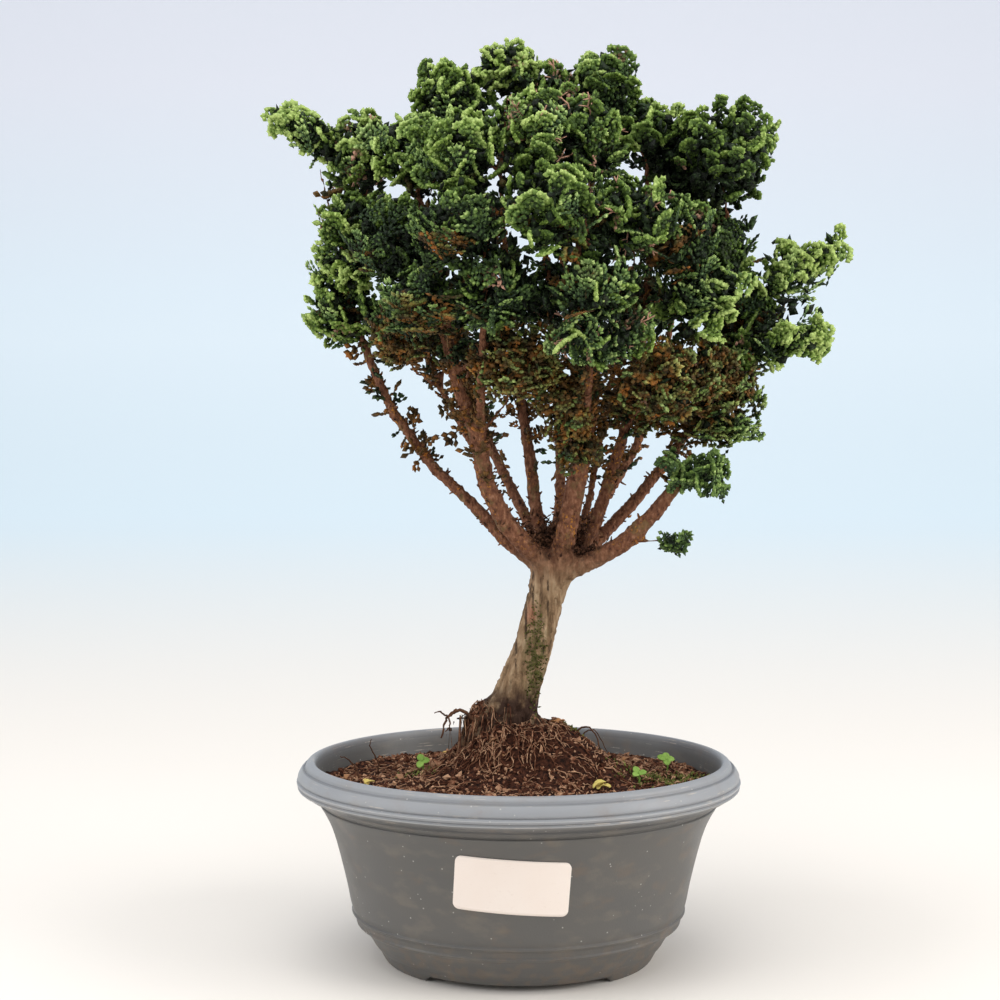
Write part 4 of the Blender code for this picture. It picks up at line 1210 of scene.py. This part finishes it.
class Paint:
    """A material, with short ways to add nodes to it. Colours are given from 0 to 255."""

    def __init__(self, name, roughness, specular=0.5):
        self.material = bpy.data.materials.new(name)
        self.material.use_nodes = True
        self.tree = self.material.node_tree
        self.shader = self.tree.nodes["Principled BSDF"]
        self.shader.inputs["Roughness"].default_value = roughness
        self.shader.inputs["Specular IOR Level"].default_value = specular
        self.place = self.add("ShaderNodeTexCoord").outputs["Object"]

    def add(self, kind, **settings):
        node = self.tree.nodes.new(kind)
        for name, value in settings.items():
            setattr(node, name, value)
        return node

    def feed(self, socket, value):
        """Links an output to a socket, or gives the socket a number or a colour."""
        if isinstance(value, bpy.types.NodeSocket):
            self.tree.links.new(value, socket)
        else:
            socket.default_value = srgb(*value) if isinstance(value, tuple) else value

    def noise(self, size, detail=3, stretch=(1, 1, 1)):
        """Noise whose patches are about size millimetres across, drawn out by stretch."""
        mapping = self.add("ShaderNodeMapping")
        self.feed(mapping.inputs["Vector"], self.place)
        mapping.inputs["Scale"].default_value = [1 / (size * MM * part) for part in stretch]
        texture = self.add("ShaderNodeTexNoise")
        self.feed(texture.inputs["Vector"], mapping.outputs[0])
        texture.inputs["Scale"].default_value = 1
        texture.inputs["Detail"].default_value = detail
        return texture.outputs["Fac"]

    def specks(self, size):
        """Distance from the nearest of many scattered points, about size millimetres apart."""
        texture = self.add("ShaderNodeTexVoronoi")
        self.feed(texture.inputs["Vector"], self.place)
        texture.inputs["Scale"].default_value = 1 / (size * MM)
        return texture.outputs["Distance"]

    def sums(self, operation, first, second, clamp=False):
        node = self.add("ShaderNodeMath", operation=operation, use_clamp=clamp)
        self.feed(node.inputs[0], first)
        self.feed(node.inputs[1], second)
        return node.outputs[0]

    def times(self, first, second):
        return self.sums("MULTIPLY", first, second)

    def less(self, first, second):
        return self.sums("SUBTRACT", first, second)

    def plus(self, first, second, clamp=False):
        return self.sums("ADD", first, second, clamp)

    def between(self, value, low, high, out_low=0.0, out_high=1.0):
        """The value's place between low and high, held within them."""
        node = self.add("ShaderNodeMapRange", interpolation_type="SMOOTHSTEP")
        for socket, given in zip(node.inputs, (value, low, high, out_low, out_high)):
            self.feed(socket, given)
        return node.outputs[0]

    def ramp(self, value, *stops):
        """A colour by the value, from stops that each give a value and a colour."""
        node = self.add("ShaderNodeValToRGB")
        self.feed(node.inputs[0], value)
        elements = node.color_ramp.elements
        while len(elements) < len(stops):
            elements.new(0.5)
        for element, (position, *colour) in zip(elements, stops):
            element.position = position
            element.color = srgb(*colour)
        return node.outputs[0]

    def mix(self, share, first, second):
        node = self.add("ShaderNodeMix", data_type="RGBA", blend_type="MIX")
        self.feed(node.inputs[0], share)
        self.feed(node.inputs[6], first)
        self.feed(node.inputs[7], second)
        return node.outputs[2]

    def tint(self):
        """The four numbers stored at the points: three as outputs, then the fourth."""
        attribute = self.add("ShaderNodeAttribute", attribute_name="tint")
        parts = self.add("ShaderNodeSeparateColor")
        self.feed(parts.inputs[0], attribute.outputs["Color"])
        return (*parts.outputs, attribute.outputs["Alpha"])

    def height(self):
        """Height over the table in millimetres."""
        parts = self.add("ShaderNodeSeparateXYZ")
        self.feed(parts.inputs[0], self.place)
        return self.times(parts.outputs["Z"], 1 / MM)

    def near(self, middle, sizes):
        """1 at a place, falling to 0 at the rim of an ellipsoid round it."""
        mapping = self.add("ShaderNodeMapping", vector_type="TEXTURE")
        self.feed(mapping.inputs["Vector"], self.place)
        mapping.inputs["Location"].default_value = placed(*middle)
        mapping.inputs["Scale"].default_value = [size * MM for size in sizes]
        length = self.add("ShaderNodeVectorMath", operation="LENGTH")
        self.feed(length.inputs[0], mapping.outputs[0])
        return self.between(length.outputs["Value"], 1.0, 0.0)

    def bump(self, height, distance):
        """Relief of a depth in millimetres."""
        node = self.add("ShaderNodeBump")
        node.inputs["Strength"].default_value = 1
        node.inputs["Distance"].default_value = distance * MM
        self.feed(node.inputs["Height"], height)
        self.feed(self.shader.inputs["Normal"], node.outputs[0])

    def coat(self, colour):
        self.feed(self.shader.inputs["Base Color"], colour)
        return self.material


def foliage_material():
    """Painted shade makes it dark green inside and painted light yellow-green at the rims, where the young
    tips are also lighter; greyer on lying sprays, brown where they have died.
    """
    paint = Paint("scale_leaves", 0.6, 0.22)
    # the first number carries painted light and shade together with the tips' own lighter tone
    painted_light_and_tip_tone, dead, grey, pink = paint.tint()
    mottle = paint.less(paint.noise(5, 3), 0.5)
    knobs = paint.specks(1.5)
    # a painted highlight in the middle of each knob and painted shade between knobs, with random mottle
    mottle_and_painted_knob_shade = paint.plus(paint.times(mottle, 0.5), paint.between(knobs, 0.15, 0.62, 0.17, -0.12))
    tone = paint.plus(painted_light_and_tip_tone, mottle_and_painted_knob_shade, clamp=True)
    fresh = paint.ramp(
        tone,
        (0, 14, 20, 7), (0.22, 38, 54, 18), (0.45, 70, 94, 34), (0.7, 118, 146, 60), (1, 190, 212, 124),
    )
    dull = paint.ramp(tone, (0, 16, 24, 18), (0.3, 42, 60, 44), (0.6, 80, 108, 82), (1, 148, 178, 138))
    dry = paint.ramp(
        paint.noise(5, 3), (0.3, 38, 28, 15), (0.45, 84, 64, 34), (0.58, 126, 86, 40), (0.72, 182, 112, 46),
    )
    living = paint.mix(grey, fresh, dull)
    leaves = paint.mix(paint.between(dead, 0.35, 0.9), living, dry)
    paint.bump(paint.less(1.0, knobs), 0.7)
    return paint.coat(paint.mix(pink, leaves, (190, 146, 124)))


def bark_material():
    """Grey-tan plates with dark furrows on the trunk, redder and flecked with orange on the limbs."""
    paint = Paint("flaking_bark", 0.82, 0.25)
    height = paint.height()
    trunk = paint.ramp(
        paint.noise(2.6, 6, (1, 1, 5)),
        (0.28, 58, 42, 30), (0.36, 112, 88, 64), (0.5, 150, 122, 92), (0.72, 192, 166, 134),
    )
    limbs = paint.ramp(
        paint.noise(1.5, 6, (1, 1, 1.6)),
        (0.26, 52, 30, 22), (0.38, 104, 66, 48), (0.56, 132, 88, 64), (0.76, 170, 126, 98),
    )
    colour = paint.mix(paint.between(height, TRUNK_TOP - 12, TRUNK_TOP + 6), trunk, limbs)
    patches = paint.between(paint.noise(9, 3, (1, 1, 2)), 0.5, 0.62)
    flecks = paint.times(patches, paint.between(paint.noise(1.1, 3), 0.56, 0.66))
    on_limbs = paint.between(height, TRUNK_TOP, TRUNK_TOP + 14)
    colour = paint.mix(paint.times(flecks, on_limbs), colour, (190, 128, 48))
    lichen = paint.times(paint.between(paint.noise(7, 4), 0.56, 0.66), on_limbs)
    colour = paint.mix(paint.times(lichen, 0.5), colour, (112, 100, 62))
    red = paint.times(paint.near((4.5, -9, 146), (5, 8, 9)), 0.85)
    colour = paint.mix(red, colour, (172, 104, 82))
    green = paint.between(paint.noise(2.4, 4), 0.4, 0.56)
    mossy = paint.times(paint.near((8, -8, 124), (9, 12, 34)), green)
    colour = paint.mix(mossy, colour, (92, 88, 50))
    # painted shade where the trunk's foot meets the mound
    painted_foot_shade = paint.between(height, MOUND_TOP + 10, MOUND_TOP, 0.0, 0.97)
    painted_foot_shade = paint.times(painted_foot_shade, paint.between(paint.noise(6, 5), 0.26, 0.5))
    colour = paint.mix(painted_foot_shade, colour, (54, 34, 25))
    # dark debris where the limbs part, darkened further as painted shade in the crotch
    crotch = paint.times(paint.near((CROTCH[0], CROTCH[1], CROTCH[2] - 2), (27, 17, 10)), 0.8)
    debris_and_painted_shade = paint.times(crotch, paint.between(paint.noise(3, 4), 0.34, 0.56))
    colour = paint.mix(debris_and_painted_shade, colour, (50, 33, 24))
    ragged = paint.between(paint.noise(1.8, 4, (1, 1, 2)), 0.36, 0.5)
    for middle, sizes in TRUNK_CRACKS:
        crack = paint.times(paint.between(paint.near(middle, sizes), 0.02, 0.5, 0.0, 0.8), ragged)
        colour = paint.mix(crack, colour, (44, 31, 23))
    paint.bump(paint.noise(1.1, 6, (1, 1, 2.4)), 1.6)
    return paint.coat(colour)


def stub_material():
    paint = Paint("dry_twigs", 0.85, 0.2)
    mottle = paint.plus(paint.tint()[0], paint.less(paint.noise(2, 3), 0.5), clamp=True)
    paint.bump(paint.noise(0.8, 3), 0.3)
    return paint.coat(paint.ramp(
        mottle, (0, 58, 36, 26), (0.45, 102, 70, 50), (0.8, 140, 100, 72), (1, 176, 112, 52),
    ))


def moss_material(name, dark, light):
    paint = Paint(name, 0.9, 0.15)
    paint.bump(paint.noise(0.6, 2), 0.3)
    return paint.coat(paint.mix(paint.tint()[0], dark, light))


def leaf_bit_material():
    paint = Paint("dry_leaf", 0.7, 0.3)
    mottle = paint.times(paint.less(paint.noise(1.6, 4), 0.5), 0.5)
    tone = paint.plus(paint.tint()[0], mottle, clamp=True)
    paint.bump(paint.noise(0.8, 3), 0.3)
    return paint.coat(paint.ramp(
        tone, (0, 92, 62, 44), (0.35, 158, 116, 84), (0.6, 192, 136, 84), (1, 214, 198, 112),
    ))


def peat_material():
    """Dark fibrous peat, each crumb or fibre of its own tone."""
    paint = Paint("fibrous_peat", 0.95, 0.15)
    tone = paint.plus(paint.times(paint.tint()[0], 0.6), paint.times(paint.noise(1.6, 6), 0.6))
    paint.bump(paint.noise(0.8, 5), 0.8)
    return paint.coat(paint.ramp(
        tone, (0.22, 26, 12, 8), (0.4, 80, 46, 32), (0.58, 128, 84, 62), (0.82, 196, 154, 122),
    ))


def plastic_material():
    """Dusty grey moulded plastic, with pale wear and painted light on its rim, painted shade and painted
    highlights along the rim's creases and ridges, and brown water marks.
    """
    paint = Paint("pot_plastic_worn", 0.42, 0.5)
    height = paint.height()
    cloudy = paint.noise(26, 5)
    base = paint.mix(cloudy, (88, 90, 91), (110, 107, 102))
    inside = paint.between(paint.near(POT_MOUTH, POT_MOUTH_SIZES), 0.001, 0.006)
    outside = paint.less(1.0, inside)
    # pale marks on the rim's top, brightened further as painted light from above
    pale = paint.times(paint.between(height, 71, 75, 0.0, 0.64), outside)
    base = paint.mix(pale, base, (164, 168, 174))
    base = paint.mix(paint.times(inside, 0.3), base, (70, 66, 62))
    # painted shade in the rim's creases and under its bead, and painted highlights on its ridges
    for lines, shade in ((RIM_SHADE_LINES, (74, 76, 80)), (RIM_HIGHLIGHTS, (206, 206, 208))):
        for middle, half_width, share in lines:
            gap = paint.sums("ABSOLUTE", paint.less(height, middle), 0.0)
            stripe = paint.times(paint.between(gap, half_width, 0.0, 0.0, share), outside)
            base = paint.mix(stripe, base, shade)
    dust = paint.between(paint.noise(12, 6, (1, 1, 0.5)), 0.5, 0.72)
    colour = paint.mix(paint.times(dust, 0.2), base, (140, 128, 112))
    stains = paint.between(paint.noise(9, 5, (1.6, 1.6, 1)), 0.56, 0.76, 0.0, 0.24)
    colour = paint.mix(stains, colour, (132, 104, 76))
    drawn = paint.between(paint.noise(0.55, 2, (60, 60, 1)), 0.6, 0.7)
    broken = paint.between(paint.noise(5, 4), 0.46, 0.6)
    rim_wear = paint.times(paint.times(drawn, broken), paint.between(height, 68, 74, 0.0, 0.55))
    colour = paint.mix(rim_wear, colour, (206, 192, 176))
    foot_marks = paint.times(broken, paint.between(height, 24, 14, 0.0, 0.26))
    colour = paint.mix(foot_marks, colour, (126, 104, 82))
    spots = paint.between(paint.specks(4.5), 0.085, 0.05, 0.0, 0.5)
    colour = paint.mix(spots, colour, (206, 204, 198))
    paint.feed(paint.shader.inputs["Roughness"], paint.between(cloudy, 0.3, 0.7, 0.38, 0.55))
    paint.bump(paint.noise(0.7, 3), 0.05)
    return paint.coat(colour)


def paper_material():
    paint = Paint("sticker_paper", 0.55, 0.3)
    fibres = paint.noise(0.8, 5, (2, 2, 1))
    colour = paint.mix(paint.noise(14, 3), (246, 232, 222), (250, 240, 232))
    colour = paint.mix(paint.between(fibres, 0.6, 0.75, 0.0, 0.25), colour, (226, 210, 198))
    paint.bump(fibres, 0.03)
    return paint.coat(colour)


# Stage


def build_stage():
    """A pale floor that sweeps up into a backdrop behind the plant."""
    line = [(STAGE_FRONT, 0), (STAGE_BACK, 0)]
    for step in range(1, STAGE_STEPS + 1):
        angle = math.pi / 2 * step / STAGE_STEPS
        line.append((STAGE_BACK + STAGE_SWEEP * math.sin(angle), STAGE_SWEEP * (1 - math.cos(angle))))
    line.append((STAGE_BACK + STAGE_SWEEP, STAGE_TOP))
    points = [(side * STAGE_HALF_WIDTH, y, z) for y, z in line for side in (-1, 1)]
    faces = [(row * 2, row * 2 + 1, row * 2 + 3, row * 2 + 2) for row in range(len(line) - 1)]
    floor = mesh_object("studio_floor", points, faces)
    paint = Paint("studio_paper", 0.9, 0.1)
    paint.shader.inputs["Emission Strength"].default_value = 1
    height = paint.times(paint.height(), MM)
    glow = paint.ramp(height, (0, 0, 0, 0), (0.14, 62, 96, 112), (0.4, 116, 130, 138), (1, 137, 142, 148))
    paint.feed(paint.shader.inputs["Emission Color"], glow)
    floor.data.materials.append(paint.coat(paint.ramp(
        height, (0, 238, 233, 226), (0.12, 224, 232, 236), (0.5, 226, 236, 243), (1, 230, 232, 240),
    )))


def build_light():
    world = bpy.data.worlds.new("studio")
    bpy.context.scene.world = world
    world.use_nodes = True
    background = world.node_tree.nodes["Background"]
    background.inputs["Color"].default_value = srgb(250, 251, 255)
    background.inputs["Strength"].default_value = WORLD_STRENGTH
    for name, place, size, power, colour in LIGHTS:
        light = bpy.data.lights.new(name, "AREA")
        light.shape = "DISK"
        light.size = size
        light.energy = power
        light.color = colour
        obj = linked(bpy.data.objects.new(name, light))
        obj.location = place
        obj.rotation_euler = (Vector(LIGHT_AIM) - Vector(place)).to_track_quat("-Z", "Y").to_euler()


def build_camera():
    camera = bpy.data.cameras.new("camera")
    camera.lens = CAMERA_LENS
    camera.sensor_width = CAMERA_SENSOR
    obj = linked(bpy.data.objects.new("camera", camera))
    obj.location = placed(0, -CAMERA_DISTANCE, CAMERA_HEIGHT)
    obj.rotation_euler = (math.radians(90 - CAMERA_PITCH_DOWN), 0, math.radians(CAMERA_TURN))
    bpy.context.scene.camera = obj


def main():
    bpy.context.scene.view_settings.view_transform = "Standard"
    build_camera()
    build_light()
    build_stage()
    build_pot(plastic_material())
    build_label(paper_material())
    wood = build_wood(bark_material())
    twigs = stub_material()
    build_stubs(wood, twigs)
    build_litter(surface_of(wood), twigs)
    build_trunk_moss(wood, moss_material("trunk_moss_green", (56, 58, 28), (108, 110, 56)))
    build_loose_roots(twigs)
    peat_paint = peat_material()
    peat = build_peat(peat_paint)
    ground = surface_of(peat, wood)
    build_crumbs(ground, peat_paint)
    build_fibres(ground, peat_paint)
    build_leaf_bits(ground, leaf_bit_material())
    build_soil_moss(ground, moss_material("soil_moss_green", (62, 60, 30), (122, 128, 66)))
    sprout = moss_material("sprout_green", (96, 134, 54), (142, 176, 88))
    for node, leaf_count, leaf_length in SEEDLINGS:
        build_seedling(node, ground, leaf_count, leaf_length, sprout)
    leaves = foliage_material()
    sprays = make_sprays()
    build_foliage(sprays, leaves)
    build_inner_sprays(wood, sprays, leaves)


main()
